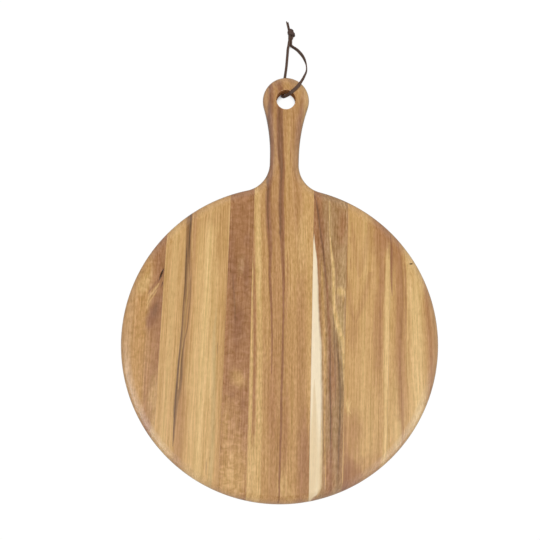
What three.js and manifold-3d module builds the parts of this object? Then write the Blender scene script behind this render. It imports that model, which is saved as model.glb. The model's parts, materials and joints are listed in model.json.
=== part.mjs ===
// Round wooden serving board with a paddle handle and a leather hanging lace.
// Millimetres, +Z up. The board lies flat on its underside, the origin is the
// centre of the round on that underside, and the handle points along +Y.

import * as THREE from 'three';
import { mergeVertices } from 'three/addons/utils/BufferGeometryUtils.js';
import Module from 'manifold-3d';

const wasm = await Module();
wasm.setup();

// Driving dimensions of the board
const BOARD_DIAMETER = 350;
const BOARD_THICKNESS = 18;
const HANDLE_LENGTH = 120.5;
const HANDLE_END_DIAMETER = 51;
const NECK_WIDTH = 32;
const NECK_STRAIGHT = 7.4;
const ROOT_FILLET = 31;
const HOLE_DIAMETER = 20.8;
const HOLE_RIM_ROUND = 1.2;

// Soft edges are elliptical arcs: how far each reaches in, and how deep it drops or rises.
// The top one stops short of a quarter turn, so it meets the serving face in a crease.
const TOP_EDGE_REACH = 11.5;
const TOP_EDGE_DROP = 6.5;
const TOP_EDGE_SWEEP_DEG = 50;
const BOTTOM_EDGE_REACH = 6;
const BOTTOM_EDGE_RISE = 5;
const LEAST_EDGE_LAND = 1;

// Glued staves, from left to right: the first joint, then the staves between the joints
const FIRST_JOINT_X = -131;
const INNER_STAVE_WIDTHS = [70.8, 27.8, 67.2, 36.6, 47.9];
const JOINT_LEANS_DEG = [-2.2, -1, -0.2, 0.5, 0.2, 0.6];
const GLUE_THICKNESS = 0.12;
const GLUE_CLEARANCE = 0.02;

// Lace: a flat leather thong, tied into a loop through the hole
const LACE_WIDTH = 3.6;
const LACE_THICKNESS = 1.2;
const LACE_CHAMFER = 0.4;
const TABLE_CLEARANCE = 0.25;
const LACE_CLEARANCE = 0.3;
const LACE_ROOM_UNDER_HANDLE = 0.95;
const LIFT_RAMP_LENGTH = 26;
const KNOT_LENGTH = 11.3;
const KNOT_NECK_DIAMETER = 4.4;
const KNOT_BELLY_DIAMETER = 6.2;
const KNOT_FLATNESS = 0.86;
const KNOT_WRAP_DIAMETER = 6;
const KNOT_WRAP_ASIDE = 1.9;
const KNOT_WRAP_SLANT_DEG = 17;
const KNOT_LEAN_DEG = 8.7;

// Facets of round stretches
const ROUND_STEPS = 56;
const ROOT_STEPS = 8;
const FLANK_STEPS = 6;
const END_STEPS = 13;
const TOP_EDGE_STEPS = 6;
const BOTTOM_EDGE_STEPS = 4;
const HOLE_SEGMENTS = 36;
const RIM_STEPS = 4;
const LACE_STEPS_PER_POINT = 2;
const KNOT_SEGMENTS = 14;
const WRAP_SIDES = 8;

// Worked out from the dimensions above
const boardRadius = BOARD_DIAMETER / 2;
const endRadius = HANDLE_END_DIAMETER / 2;
const endY = boardRadius + HANDLE_LENGTH - endRadius;
const neckHalf = NECK_WIDTH / 2;
const rootCentreX = neckHalf + ROOT_FILLET;
const rootCentreY = Math.sqrt((boardRadius + ROOT_FILLET) ** 2 - rootCentreX ** 2);
const waistY = rootCentreY + NECK_STRAIGHT;
const waistToEnd = endY - waistY;
const flankRadius = (neckHalf ** 2 + waistToEnd ** 2 - endRadius ** 2) / (2 * (endRadius - neckHalf));
const handleLift = TABLE_CLEARANCE + LACE_THICKNESS + LACE_ROOM_UNDER_HANDLE;
const edgeRoom = BOARD_THICKNESS - handleLift - LEAST_EDGE_LAND;
const edgeShare = Math.min(1, edgeRoom / (TOP_EDGE_DROP + BOTTOM_EDGE_RISE));
const topDrop = TOP_EDGE_DROP * edgeShare;
const topSweep = THREE.MathUtils.degToRad(TOP_EDGE_SWEEP_DEG);
const bottomRise = BOTTOM_EDGE_RISE * edgeShare;
const holeRadius = HOLE_DIAMETER / 2;
const QUARTER = Math.PI / 2;

// Points along an arc, both ends included
function arc(x, y, radius, from, to, steps) {
  const points = [];
  for (let i = 0; i <= steps; i += 1) {
    const angle = from + ((to - from) * i) / steps;
    points.push(new THREE.Vector2(x + radius * Math.cos(angle), y + radius * Math.sin(angle)));
  }
  return points;
}

// Board outline drawn in from the true edge by inset: up the right side, down the left
function boardOutline(inset) {
  const rootAngle = Math.atan2(rootCentreY, rootCentreX);
  const flankCentreX = neckHalf + flankRadius;
  const flankAngle = Math.atan2(waistToEnd, flankCentreX);
  const round = arc(0, 0, boardRadius - inset, -QUARTER, rootAngle, ROUND_STEPS);
  const root = arc(rootCentreX, rootCentreY, ROOT_FILLET + inset, rootAngle + Math.PI, Math.PI, ROOT_STEPS);
  const flank = arc(flankCentreX, waistY, flankRadius + inset, Math.PI, Math.PI - flankAngle, FLANK_STEPS);
  const end = arc(0, endY, endRadius - inset, -flankAngle, QUARTER, END_STEPS);
  const right = [...round, ...root.slice(1), ...flank, ...end.slice(1)];
  right[0].x = 0;
  right[right.length - 1].x = 0;
  const left = right.slice(1, -1).reverse().map((p) => new THREE.Vector2(-p.x, p.y));
  return [...right, ...left];
}

// Height of the underside: the handle stands clear of the table, so the lace passes below it
function underside(y) {
  return handleLift * THREE.MathUtils.smoothstep(y, boardRadius, boardRadius + LIFT_RAMP_LENGTH);
}

// Closed skin over rings of equal count. Each ring is even about its first point,
// so its caps are ladders of strips between the points that face each other.
function loft(rings) {
  const count = rings[0].length;
  const half = count / 2;
  const positions = rings.flat().flatMap((p) => [p.x, p.y, p.z]);
  const index = [];
  for (let r = 0; r + 1 < rings.length; r += 1) {
    for (let i = 0; i < count; i += 1) {
      const a = r * count + i;
      const b = r * count + ((i + 1) % count);
      index.push(a, b, b + count, a, b + count, a + count);
    }
  }
  const last = (rings.length - 1) * count;
  for (let i = 0; i < half; i += 1) {
    const right = i;
    const rightNext = i + 1;
    const left = (count - i) % count;
    const leftNext = count - i - 1;
    if (rightNext !== leftNext) {
      index.push(right, leftNext, rightNext, last + right, last + rightNext, last + leftNext);
    }
    if (right !== left) {
      index.push(right, left, leftNext, last + right, last + leftNext, last + left);
    }
  }
  const geometry = new THREE.BufferGeometry();
  geometry.setAttribute('position', new THREE.Float32BufferAttribute(positions, 3));
  geometry.setIndex(index);
  return geometry;
}

// The whole board before it is told apart into staves, with no hole yet
function boardBlank() {
  const rings = [];
  for (let k = BOTTOM_EDGE_STEPS; k >= 0; k -= 1) {
    const turn = (QUARTER * k) / BOTTOM_EDGE_STEPS;
    const outline = boardOutline(BOTTOM_EDGE_REACH * (1 - Math.cos(turn)));
    const rise = bottomRise * (1 - Math.sin(turn));
    rings.push(outline.map((p) => new THREE.Vector3(p.x, p.y, underside(p.y) + rise)));
  }
  for (let k = 0; k <= TOP_EDGE_STEPS; k += 1) {
    const turn = (topSweep * k) / TOP_EDGE_STEPS;
    const outline = boardOutline((TOP_EDGE_REACH * (1 - Math.cos(turn))) / (1 - Math.cos(topSweep)));
    const height = BOARD_THICKNESS - topDrop * (1 - Math.sin(turn) / Math.sin(topSweep));
    rings.push(outline.map((p) => new THREE.Vector3(p.x, p.y, height)));
  }
  return loft(rings);
}

// Cutter for the hanging hole, flared at both faces so that the wood keeps a round rim
function holeCutter() {
  const past = HOLE_RIM_ROUND;
  const flare = holeRadius + HOLE_RIM_ROUND;
  const lower = arc(flare, handleLift + HOLE_RIM_ROUND, HOLE_RIM_ROUND, -QUARTER, -Math.PI, RIM_STEPS);
  const upper = arc(flare, BOARD_THICKNESS - HOLE_RIM_ROUND, HOLE_RIM_ROUND, Math.PI, QUARTER, RIM_STEPS);
  const profile = [
    new THREE.Vector2(0, handleLift - past),
    new THREE.Vector2(flare, handleLift - past),
    ...lower,
    ...upper,
    new THREE.Vector2(flare, BOARD_THICKNESS + past),
    new THREE.Vector2(0, BOARD_THICKNESS + past),
  ];
  const cutter = new THREE.LatheGeometry(profile, HOLE_SEGMENTS);
  cutter.rotateX(QUARTER);
  cutter.translate(0, endY, 0);
  return cutter;
}

// Geometry to solid and back, for cuts and joins
function solid(geometry) {
  const bare = geometry.clone();
  bare.deleteAttribute('normal');
  bare.deleteAttribute('uv');
  const merged = mergeVertices(bare);
  const vertProperties = new Float32Array(merged.attributes.position.array);
  const triVerts = new Uint32Array(merged.index.array);
  return new wasm.Manifold(new wasm.Mesh({ numProp: 3, vertProperties, triVerts }));
}

function geometryOf(body) {
  const mesh = body.getMesh();
  const geometry = new THREE.BufferGeometry();
  geometry.setAttribute('position', new THREE.Float32BufferAttribute(mesh.vertProperties, 3));
  geometry.setIndex(new THREE.Uint32BufferAttribute(mesh.triVerts, 1));
  return geometry;
}

// Upright slice of space between two leaning lines, each given as its x at y = 0 and its lean
function slice(left, right) {
  const low = -BOARD_DIAMETER;
  const high = endY + BOARD_DIAMETER;
  const at = (line, y) => line.x - y * Math.tan(line.lean);
  const shape = new THREE.Shape([
    new THREE.Vector2(at(left, low), low),
    new THREE.Vector2(at(right, low), low),
    new THREE.Vector2(at(right, high), high),
    new THREE.Vector2(at(left, high), high),
  ]);
  const geometry = new THREE.ExtrudeGeometry(shape, { depth: 3 * BOARD_THICKNESS, bevelEnabled: false });
  geometry.translate(0, 0, -BOARD_THICKNESS);
  return solid(geometry);
}

// Glue joints: each line's x at the middle of the round, and its lean off the handle's axis
const joints = JOINT_LEANS_DEG.map((lean, i) => ({
  x: FIRST_JOINT_X + INNER_STAVE_WIDTHS.slice(0, i).reduce((sum, width) => sum + width, 0),
  lean: THREE.MathUtils.degToRad(lean),
}));

function beside(line, distance) {
  return { x: line.x + distance / Math.cos(line.lean), lean: line.lean };
}

const part = new THREE.Group();

function addPiece(parent, name, geometry, colour, roughness) {
  const material = new THREE.MeshStandardMaterial({ color: colour, roughness, metalness: 0 });
  const mesh = new THREE.Mesh(geometry, material);
  mesh.name = name;
  parent.add(mesh);
  return mesh;
}

// Staves and the glue between them
const STAVE_COLOURS = [0xb9884f, 0xc9a063, 0x9b7048, 0xb08352, 0xa98a5e, 0xc0955a, 0xbb8d54];
const GLUE_COLOUR = 0x6e4c2c;
const WOOD_ROUGHNESS = 0.55;
const board = solid(boardBlank()).subtract(solid(holeCutter()));
const outside = { x: BOARD_DIAMETER, lean: 0 };
const staveInset = GLUE_THICKNESS / 2 + GLUE_CLEARANCE;
STAVE_COLOURS.forEach((colour, i) => {
  const left = i === 0 ? { x: -outside.x, lean: 0 } : beside(joints[i - 1], staveInset);
  const right = i === joints.length ? outside : beside(joints[i], -staveInset);
  const stave = board.intersect(slice(left, right));
  addPiece(part, `stave_${i + 1}`, geometryOf(stave), colour, WOOD_ROUGHNESS);
});
joints.forEach((joint, i) => {
  const film = slice(beside(joint, -GLUE_THICKNESS / 2), beside(joint, GLUE_THICKNESS / 2));
  addPiece(part, `glue_line_${i + 1}`, geometryOf(board.intersect(film)), GLUE_COLOUR, WOOD_ROUGHNESS);
});

// Lace. Its places are counted from the hole's axis, and each point of a route is
// [x, y, height, across]: height runs from 0 on the table to 1 on the board's top face,
// and across is the way that the thong's width points there.
const LACE_COLOUR = 0x4a3a33;
const LACE_ROUGHNESS = 0.7;
const lace = new THREE.Group();
lace.position.set(0, endY, 0);
part.add(lace);

const HOLE_MIDDLE = [-1.9, 5.7, 0.45, [0.75, -0.6, -0.35]];
const FRONT_ROUTE = [
  HOLE_MIDDLE,
  [0.6, 6.1, 0.6, [0.5, -0.85, -0.15]],
  [3, 6.8, 0.78, [0.4, -0.9, 0]],
  [5, 7.7, 0.94, [0.55, -0.83, 0]],
  [6.9, 9.1, 1, [0.64, -0.77, 0]],
  [9.9, 11.9, 1, [0.74, -0.67, 0]],
  [11.9, 14.2, 0.965, [0.8, -0.6, 0]],
  [13.8, 16.8, 0.9, [0.82, -0.52, 0.2]],
  [16.2, 20.7, 0.79, [0.71, -0.36, 0.6]],
  [18.2, 24.7, 0.66, [0.62, -0.3, 0.72]],
  [19.8, 28.8, 0.52, [0.55, -0.22, 0.8]],
  [21.2, 32.5, 0.4, [0.42, -0.12, 0.9]],
  [22, 36.5, 0.28, [0.2, -0.03, 0.98]],
  [22.1, 40.5, 0.19, [0, 0, 1]],
  [21.5, 44.6, 0.12, [0.12, 0.03, 0.99]],
  [19.7, 49.8, 0.06, [0.38, 0.18, 0.91]],
  [17.2, 54.3, 0.02, [0.5, 0.32, 0.8]],
  [14.2, 57.9, 0, [0.5, 0.42, 0.76]],
  [10.5, 61.2, 0, [0.32, 0.45, 0.83]],
  [6.7, 63.5, 0, [0.3, 0.3, 0.9]],
  [4.3, 65.6, 0, [0.6, 0.12, 0.79]],
  [4.1, 68.3, 0, [0.62, 0, 0.78]],
  [4, 71.4, 0, [0.55, 0, 0.84]],
];
const BACK_ROUTE = [
  HOLE_MIDDLE,
  [-3.9, 5.7, 0.28, [0.85, -0.35, -0.4]],
  [-3.6, 8.2, 0.04, [1, 0.1, -0.1]],
  [-3.4, 11.2, 0, [1, 0.1, 0]],
  [-3.2, 15, 0, [1, -0.1, 0]],
  [-2.9, 19.6, 0, [1, -0.1, 0]],
  [-2.2, 24.9, 0, [0.95, -0.1, 0.3]],
  [-1.65, 29.7, 0, [0.76, -0.08, 0.64]],
  [-1.05, 34.6, 0, [0.72, -0.05, 0.69]],
  [-0.3, 41.3, 0, [0.7, 0, 0.71]],
  [0.2, 49.1, 0, [0.7, 0, 0.71]],
  [0.6, 55.9, 0, [0.7, 0, 0.71]],
  [0.9, 62, 0, [0.68, 0, 0.73]],
  [1.6, 66, 0, [0.64, 0, 0.77]],
  [1.9, 69.3, 0, [0.62, 0, 0.78]],
  [2.2, 71.4, 0, [0.55, 0, 0.84]],
];

// Where the lace's middle lies at a point of a route, as its section stands there
function lacePoint([x, y, height, across]) {
  const upright = Math.abs(across[2]) / Math.hypot(...across);
  const lying = Math.sqrt(1 - upright ** 2);
  const halfHeight = (upright * LACE_WIDTH + lying * LACE_THICKNESS) / 2;
  const under = THREE.MathUtils.lerp(TABLE_CLEARANCE, BOARD_THICKNESS + LACE_CLEARANCE, height);
  return new THREE.Vector3(x, y, under + halfHeight);
}

// Flat section with chamfered corners: across its width, through its thickness
function laceSection() {
  const w = LACE_WIDTH / 2;
  const t = LACE_THICKNESS / 2;
  const c = LACE_CHAMFER;
  const right = [[w - c, -t], [w, -t + c], [w, t - c], [w - c, t]];
  return [...right, ...right.map(([x, y]) => [-x, -y])];
}

// A stretch of lace along a route, with its first end held back by startGap
function laceStretch(route, startGap) {
  const path = new THREE.CatmullRomCurve3(route.map(lacePoint), false, 'centripetal');
  const acrossAlong = new THREE.CatmullRomCurve3(route.map((point) => new THREE.Vector3(...point[3])));
  const steps = LACE_STEPS_PER_POINT * (route.length - 1);
  const section = laceSection();
  const rings = [];
  for (let i = 0; i <= steps; i += 1) {
    const t = i / steps;
    const tangent = path.getTangent(t);
    const centre = path.getPoint(t);
    if (i === 0) {
      centre.addScaledVector(tangent, startGap);
    }
    const through = new THREE.Vector3().crossVectors(tangent, acrossAlong.getPoint(t)).normalize();
    const across = new THREE.Vector3().crossVectors(through, tangent).normalize();
    rings.push(section.map(([x, y]) => centre.clone().addScaledVector(across, x).addScaledVector(through, y)));
  }
  return loft(rings);
}

addPiece(lace, 'lace_front', laceStretch(FRONT_ROUTE, LACE_CLEARANCE / 2), LACE_COLOUR, LACE_ROUGHNESS);
addPiece(lace, 'lace_back', laceStretch(BACK_ROUTE, LACE_CLEARANCE / 2), LACE_COLOUR, LACE_ROUGHNESS);

// Knot: a barrel of thong with two turns drawn tight round it, lying where both runs end
const knotHeight = TABLE_CLEARANCE + (KNOT_BELLY_DIAMETER / 2 + LACE_THICKNESS) * KNOT_FLATNESS;
const frontEnd = FRONT_ROUTE.at(-1);
const backEnd = BACK_ROUTE.at(-1);
const knot = new THREE.Group();
knot.position.set((frontEnd[0] + backEnd[0]) / 2, frontEnd[1] + LACE_CLEARANCE, 0);
knot.rotation.z = THREE.MathUtils.degToRad(KNOT_LEAN_DEG);
lace.add(knot);

function knotWrap(along, tip) {
  const ring = new THREE.TorusGeometry(KNOT_WRAP_DIAMETER / 2, LACE_THICKNESS, WRAP_SIDES, KNOT_SEGMENTS);
  ring.rotateX(QUARTER + tip);
  ring.rotateZ(-THREE.MathUtils.degToRad(KNOT_WRAP_SLANT_DEG));
  ring.translate(KNOT_WRAP_ASIDE, along * KNOT_LENGTH, 0);
  return solid(ring);
}

function knotBody() {
  const neck = KNOT_NECK_DIAMETER / 2;
  const belly = KNOT_BELLY_DIAMETER / 2;
  const profile = [
    new THREE.Vector2(0, 0),
    new THREE.Vector2(neck, 0),
    new THREE.Vector2(belly, 0.3 * KNOT_LENGTH),
    new THREE.Vector2(belly, 0.7 * KNOT_LENGTH),
    new THREE.Vector2(neck, KNOT_LENGTH),
    new THREE.Vector2(0, KNOT_LENGTH),
  ];
  const barrel = solid(new THREE.LatheGeometry(profile, KNOT_SEGMENTS));
  const body = barrel.add(knotWrap(0.42, 0.2)).add(knotWrap(0.68, -0.2));
  const geometry = geometryOf(body);
  geometry.scale(1, 1, KNOT_FLATNESS);
  geometry.translate(0, 0, knotHeight);
  return geometry;
}

addPiece(knot, 'lace_knot', knotBody(), LACE_COLOUR, LACE_ROUGHNESS);

// Tails: both cut ends stand on edge, side by side, past the knot
const tailStart = KNOT_LENGTH + LACE_CLEARANCE;
const tailAside = (LACE_THICKNESS + LACE_CLEARANCE) / 2;
const ON_EDGE = [0, 0, 1];
const LONG_TAIL = [
  [-tailAside, tailStart, 0.04, ON_EDGE],
  [-tailAside - 0.3, tailStart + 4.2, 0.02, ON_EDGE],
  [-tailAside - 0.75, tailStart + 8.6, 0, ON_EDGE],
];
const SHORT_TAIL = [
  [tailAside, tailStart, 0.04, ON_EDGE],
  [tailAside - 0.25, tailStart + 3.8, 0.02, ON_EDGE],
  [tailAside - 0.62, tailStart + 7.6, 0, ON_EDGE],
];
addPiece(knot, 'lace_tail_long', laceStretch(LONG_TAIL, 0), LACE_COLOUR, LACE_ROUGHNESS);
addPiece(knot, 'lace_tail_short', laceStretch(SHORT_TAIL, 0), LACE_COLOUR, LACE_ROUGHNESS);

export default part;
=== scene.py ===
"""Looks of a round acacia serving board with a paddle handle and a leather hanging lace.

The board is seven edge-glued staves with thin glue films between them. The lace is a flat
thong that runs through the hanging hole and is closed by one overhand knot.
"""

import json
import math
from collections import namedtuple

import bmesh
import bpy
from bpy.props import FloatProperty, FloatVectorProperty, PointerProperty
from mathutils import Matrix, Vector, noise


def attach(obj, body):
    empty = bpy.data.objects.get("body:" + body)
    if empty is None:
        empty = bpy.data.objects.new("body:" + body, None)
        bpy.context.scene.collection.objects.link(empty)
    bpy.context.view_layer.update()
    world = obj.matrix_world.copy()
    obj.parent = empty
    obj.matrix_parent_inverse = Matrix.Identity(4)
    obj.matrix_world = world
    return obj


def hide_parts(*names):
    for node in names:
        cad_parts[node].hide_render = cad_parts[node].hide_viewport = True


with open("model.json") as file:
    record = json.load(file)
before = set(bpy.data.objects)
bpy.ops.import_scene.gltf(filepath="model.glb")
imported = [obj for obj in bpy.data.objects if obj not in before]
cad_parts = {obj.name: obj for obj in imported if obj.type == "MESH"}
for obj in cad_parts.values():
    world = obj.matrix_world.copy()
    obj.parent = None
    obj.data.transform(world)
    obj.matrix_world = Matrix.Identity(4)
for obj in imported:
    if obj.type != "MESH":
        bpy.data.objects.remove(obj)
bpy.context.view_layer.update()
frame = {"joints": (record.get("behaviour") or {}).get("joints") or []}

bl_info = {
    "name": "Round Serving Board",
    "version": (1, 0, 0),
    "blender": (4, 5, 0),
    "location": "View3D > Sidebar > Serving Board",
    "description": "Dresses a glued acacia serving board and its leather hanging lace",
    "category": "Object",
}

MM = 0.001
QUARTER = math.pi / 2
HOLE_AXIS = Vector(frame["joints"][0]["pos_m"])
HOLE_FOOT = Vector((HOLE_AXIS.x, HOLE_AXIS.y, 0))


# The usual curve of screen colours: straight up to its bend, and a power past it
SCREEN_LEVELS = 255
SCREEN_BEND = 0.04045
SCREEN_SLOPE = 12.92
SCREEN_OFFSET = 0.055
SCREEN_POWER = 2.4
LEAST_TURN = math.radians(10)


def screen_colour(red, green, blue):
    """An 8-bit screen colour as the linear colour that shaders take."""

    def linear(value):
        level = value / SCREEN_LEVELS
        if level <= SCREEN_BEND:
            return level / SCREEN_SLOPE
        return ((level + SCREEN_OFFSET) / (1 + SCREEN_OFFSET)) ** SCREEN_POWER

    return (linear(red), linear(green), linear(blue))


def length(name, millimetres, description):
    """A size that a user may change, shown in the scene's unit of length."""
    return FloatProperty(
        name=name, description=description, default=millimetres * MM,
        min=0.0, precision=4, unit="LENGTH",
    )


def angle(name, degrees, description):
    """A turn that a user may change, up to a right angle."""
    return FloatProperty(
        name=name, description=description, default=math.radians(degrees),
        min=LEAST_TURN, max=QUARTER, subtype="ANGLE",
    )


def colour(name, screen, description):
    """A colour that a user may change, given here as an 8-bit screen colour."""
    return FloatVectorProperty(
        name=name, description=description, default=screen_colour(*screen),
        min=0.0, max=1.0, subtype="COLOR",
    )


def share(name, default, description):
    """A plain strength from none to full."""
    return FloatProperty(
        name=name, description=description, default=default,
        min=0.0, max=1.0, subtype="FACTOR",
    )


def power(name, watts, description):
    """The power of a lamp."""
    return FloatProperty(name=name, description=description, default=watts, min=0.0, unit="POWER")


class BoardSizes(bpy.types.PropertyGroup):
    """Sizes of the wooden board."""

    round_diameter: length("Round", 350, "Across the round, from edge to edge")
    thickness: length("Thickness", 18, "From the underside to the serving face")
    handle_length: length("Handle", 120.5, "From the round's edge to the end of the handle")
    handle_end: length("Handle end", 51, "Across the round end of the handle")
    neck_width: length("Neck", 32, "Across the narrowest part of the handle")
    neck_straight: length("Neck straight", 7.4, "Between the root fillets and the narrowest part")
    root_fillet: length("Root fillet", 31, "Radius where the handle leaves the round")
    handle_lift: length("Handle lift", 2.4, "Height of the handle's underside above the table")
    lift_ramp: length("Lift ramp", 26, "Length over which the handle's underside rises")
    hole_diameter: length("Hole", 20.8, "Across the hanging hole")
    hole_rim: length("Hole rim", 1.2, "Radius of the hole's rounded rims")
    top_reach: length("Top edge reach", 11.5, "How far the soft edge reaches in on the serving face")
    top_drop: length("Top edge drop", 6.5, "How deep the soft edge drops from the serving face")
    top_sweep: angle("Top edge sweep", 50, "How far the soft edge turns up to the serving face")
    bottom_reach: length("Bottom edge reach", 6, "How far the soft edge reaches in below")
    bottom_rise: length("Bottom edge rise", 5, "How far the soft edge rises from below")
    glue_film: length("Glue film", 0.12, "Thickness of the glue between two staves")


class LaceSizes(bpy.types.PropertyGroup):
    """Sizes and colours of the leather lace."""

    width: length("Width", 3.6, "Across the flat thong")
    thickness: length("Thickness", 1.2, "Through the flat thong")
    grain_side: colour("Grain side", (88, 67, 55), "Smooth dyed side of the leather")
    flesh_side: colour("Flesh side", (84, 66, 59), "Rough side of the leather")
    cut_edge: colour("Cut edge", (94, 72, 59), "Raw edge where the thong was cut")


class WoodTones(bpy.types.PropertyGroup):
    """Tones of the acacia, from the palest sapwood to the darkest lines."""

    cream: colour("Cream", (246, 227, 193), "Palest sapwood")
    ivory: colour("Ivory", (231, 204, 159), "Sapwood further from the bark")
    straw: colour("Straw", (222, 184, 122), "Brightest quiet wood")
    gold: colour("Gold", (210, 169, 108), "Golden wood")
    honey: colour("Honey", (202, 158, 98), "Warm mid wood")
    amber: colour("Amber", (188, 140, 79), "Orange curly wood")
    tan: colour("Tan", (192, 146, 90), "Even tan wood")
    caramel: colour("Caramel", (183, 136, 84), "Light brown wood")
    russet: colour("Russet", (174, 124, 77), "Reddish brown wood")
    umber: colour("Umber", (164, 115, 72), "Dark heartwood")
    walnut: colour("Walnut", (148, 100, 63), "Darkest heartwood")
    peat: colour("Peat", (141, 102, 61), "Dark olive heartwood")
    olive: colour("Olive", (168, 129, 84), "Greyish mineral wood")
    drab: colour("Drab", (181, 145, 97), "Lighter greyish wood")
    moss: colour("Moss", (196, 164, 108), "Faint greenish stain")
    ink: colour("Ink", (90, 63, 38), "Mineral lines")
    bark: colour("Bark", (58, 34, 20), "Bark caught in the wood")
    # Painted light: a tone paler than the wood, which lightens the hole's shaded wall
    bore_painted_light: colour("Bore", (212, 158, 106), "Bare wood in the drilled hole")
    glue: colour("Glue", (126, 90, 58), "Dried glue at the joints")
    pore_depth: share("Pore depth", 0.55, "How much darker the pores are than the wood")
    stripe_depth: share("Stripe depth", 0.3, "How much the growth lines vary the wood")
    fibre_depth: share("Fibre depth", 0.36, "How much the fine fibres vary the wood")


class StageLooks(bpy.types.PropertyGroup):
    """Light and floor of the stage."""

    floor_colour: colour("Floor", (188, 188, 188), "Colour that the floor throws back on the board")
    overhead_watts: power("Overhead light", 276.0, "Power of the soft light above, unseen in gloss")
    left_watts: power("Left light", 31.0, "Power of the sheen from the lower left of the picture")
    right_watts: power("Right light", 25.0, "Power of the sheen from the lower right of the picture")
    back_watts: power("Back light", 4.0, "Power of the sheen from the upper left of the picture")
    far_watts: power("Far light", 4.0, "Power of the sheen from the upper right of the picture")
    sheen_colour: colour("Sheen", (220, 238, 255), "Colour of the lights that only show in the sheen")
    fill: share("Fill", 0.3, "Even light from all around")


# Glue joints from left to right: x at the middle of the round in millimetres, and lean in degrees
JOINTS = [(-131.0, -2.2), (-60.2, -1.0), (-32.4, -0.2), (34.8, 0.5), (71.4, 0.2), (119.3, 0.6)]
# Lines past both sides of the board that the outer staves' grain fans towards
LEFT_OUTSIDE = (-175.0, -3.4)
RIGHT_OUTSIDE = (175.0, 6.2)
GRAIN_LINES = [LEFT_OUTSIDE, *JOINTS, RIGHT_OUTSIDE]
JOINT_CLEARANCE = 0.02 * MM

# Steps of round stretches
ROUND_STEPS = 168
ROOT_STEPS = 18
FLANK_STEPS = 16
END_STEPS = 34
TOP_EDGE_STEPS = 12
BOTTOM_EDGE_STEPS = 8
HOLE_SEGMENTS = 84
HOLE_RIM_STEPS = 7
FLAT_MARGIN = 0.6 * MM
SHARP_ANGLE = math.radians(32)

BoardShape = namedtuple(
    "BoardShape", "radius end_radius end_y neck root_x root_y waist_y waist_to_end flank"
)


def board_shape(sizes):
    """The outline's centres and radii, worked out from the board's sizes."""
    radius = sizes.round_diameter / 2
    end_radius = sizes.handle_end / 2
    end_y = radius + sizes.handle_length - end_radius
    neck = sizes.neck_width / 2
    root_x = neck + sizes.root_fillet
    root_y = math.sqrt((radius + sizes.root_fillet) ** 2 - root_x**2)
    waist_y = root_y + sizes.neck_straight
    waist_to_end = end_y - waist_y
    flank = (neck**2 + waist_to_end**2 - end_radius**2) / (2 * (end_radius - neck))
    return BoardShape(radius, end_radius, end_y, neck, root_x, root_y, waist_y, waist_to_end, flank)


def arc(x, y, radius, start, end, steps):
    """Points along an arc, both ends included."""
    turns = [start + (end - start) * i / steps for i in range(steps + 1)]
    return [(x + radius * math.cos(turn), y + radius * math.sin(turn)) for turn in turns]


def board_outline(sizes, inset):
    """The board's outline drawn in by inset: up the right side, then down the left."""
    shape = board_shape(sizes)
    root_turn = math.atan2(shape.root_y, shape.root_x)
    flank_x = shape.neck + shape.flank
    flank_turn = math.atan2(shape.waist_to_end, flank_x)
    root_radius = sizes.root_fillet + inset
    rounded = arc(0, 0, shape.radius - inset, -QUARTER, root_turn, ROUND_STEPS)
    root = arc(shape.root_x, shape.root_y, root_radius, root_turn + math.pi, math.pi, ROOT_STEPS)
    flank = arc(flank_x, shape.waist_y, shape.flank + inset, math.pi, math.pi - flank_turn, FLANK_STEPS)
    end = arc(0, shape.end_y, shape.end_radius - inset, -flank_turn, QUARTER, END_STEPS)
    right = [*rounded, *root[1:], *flank, *end[1:]]
    right[0] = (0, right[0][1])
    right[-1] = (0, right[-1][1])
    left = [(-x, y) for x, y in reversed(right[1:-1])]
    return right + left


def eased(along):
    """A share from 0 to 1 that starts and ends gently."""
    return along * along * (3 - 2 * along)


def underside(sizes, y):
    """Height of the underside: the handle stands clear of the table, so the lace passes below it."""
    along = (y - sizes.round_diameter / 2) / sizes.lift_ramp
    return sizes.handle_lift * eased(min(1, max(0, along)))


def top_edge(sizes, turn):
    """How far the soft edge lies in from the outline and below the serving face, at a turn of it."""
    sweep = sizes.top_sweep
    inset = sizes.top_reach * (1 - math.cos(turn)) / (1 - math.cos(sweep))
    drop = sizes.top_drop * (1 - math.sin(turn) / math.sin(sweep))
    return inset, drop


def board_rings(sizes):
    """Rings over the board's edge from the underside to the serving face."""

    def lower_ring(inset, rise):
        return [Vector((x, y, underside(sizes, y) + rise)) for x, y in board_outline(sizes, inset)]

    def upper_ring(inset, drop):
        return [Vector((x, y, sizes.thickness - drop)) for x, y in board_outline(sizes, inset)]

    rings = [lower_ring(sizes.bottom_reach + FLAT_MARGIN, 0)]
    for step in range(BOTTOM_EDGE_STEPS, -1, -1):
        turn = QUARTER * step / BOTTOM_EDGE_STEPS
        inset = sizes.bottom_reach * (1 - math.cos(turn))
        rings.append(lower_ring(inset, sizes.bottom_rise * (1 - math.sin(turn))))
    for step in range(TOP_EDGE_STEPS + 1):
        rings.append(upper_ring(*top_edge(sizes, sizes.top_sweep * step / TOP_EDGE_STEPS)))
    rings.append(upper_ring(sizes.top_reach + FLAT_MARGIN, 0))
    return rings


def skin(bm, rings):
    """Joins rings of equal count by bands of quads and returns their vertices."""
    loops = [[bm.verts.new(point) for point in ring] for ring in rings]
    for lower, upper in zip(loops, loops[1:]):
        for i in range(len(lower)):
            after = (i + 1) % len(lower)
            bm.faces.new((lower[i], lower[after], upper[after], upper[i]))
    return loops


def ladder(bm, loop):
    """Closes a ring that is even about its first point, by strips from side to side."""
    half = len(loop) // 2
    for i in range(half):
        corners = [loop[i], loop[i + 1], loop[-i - 1], loop[-i]]
        unlike = [v for n, v in enumerate(corners) if v not in corners[:n]]
        bm.faces.new(unlike)


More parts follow.
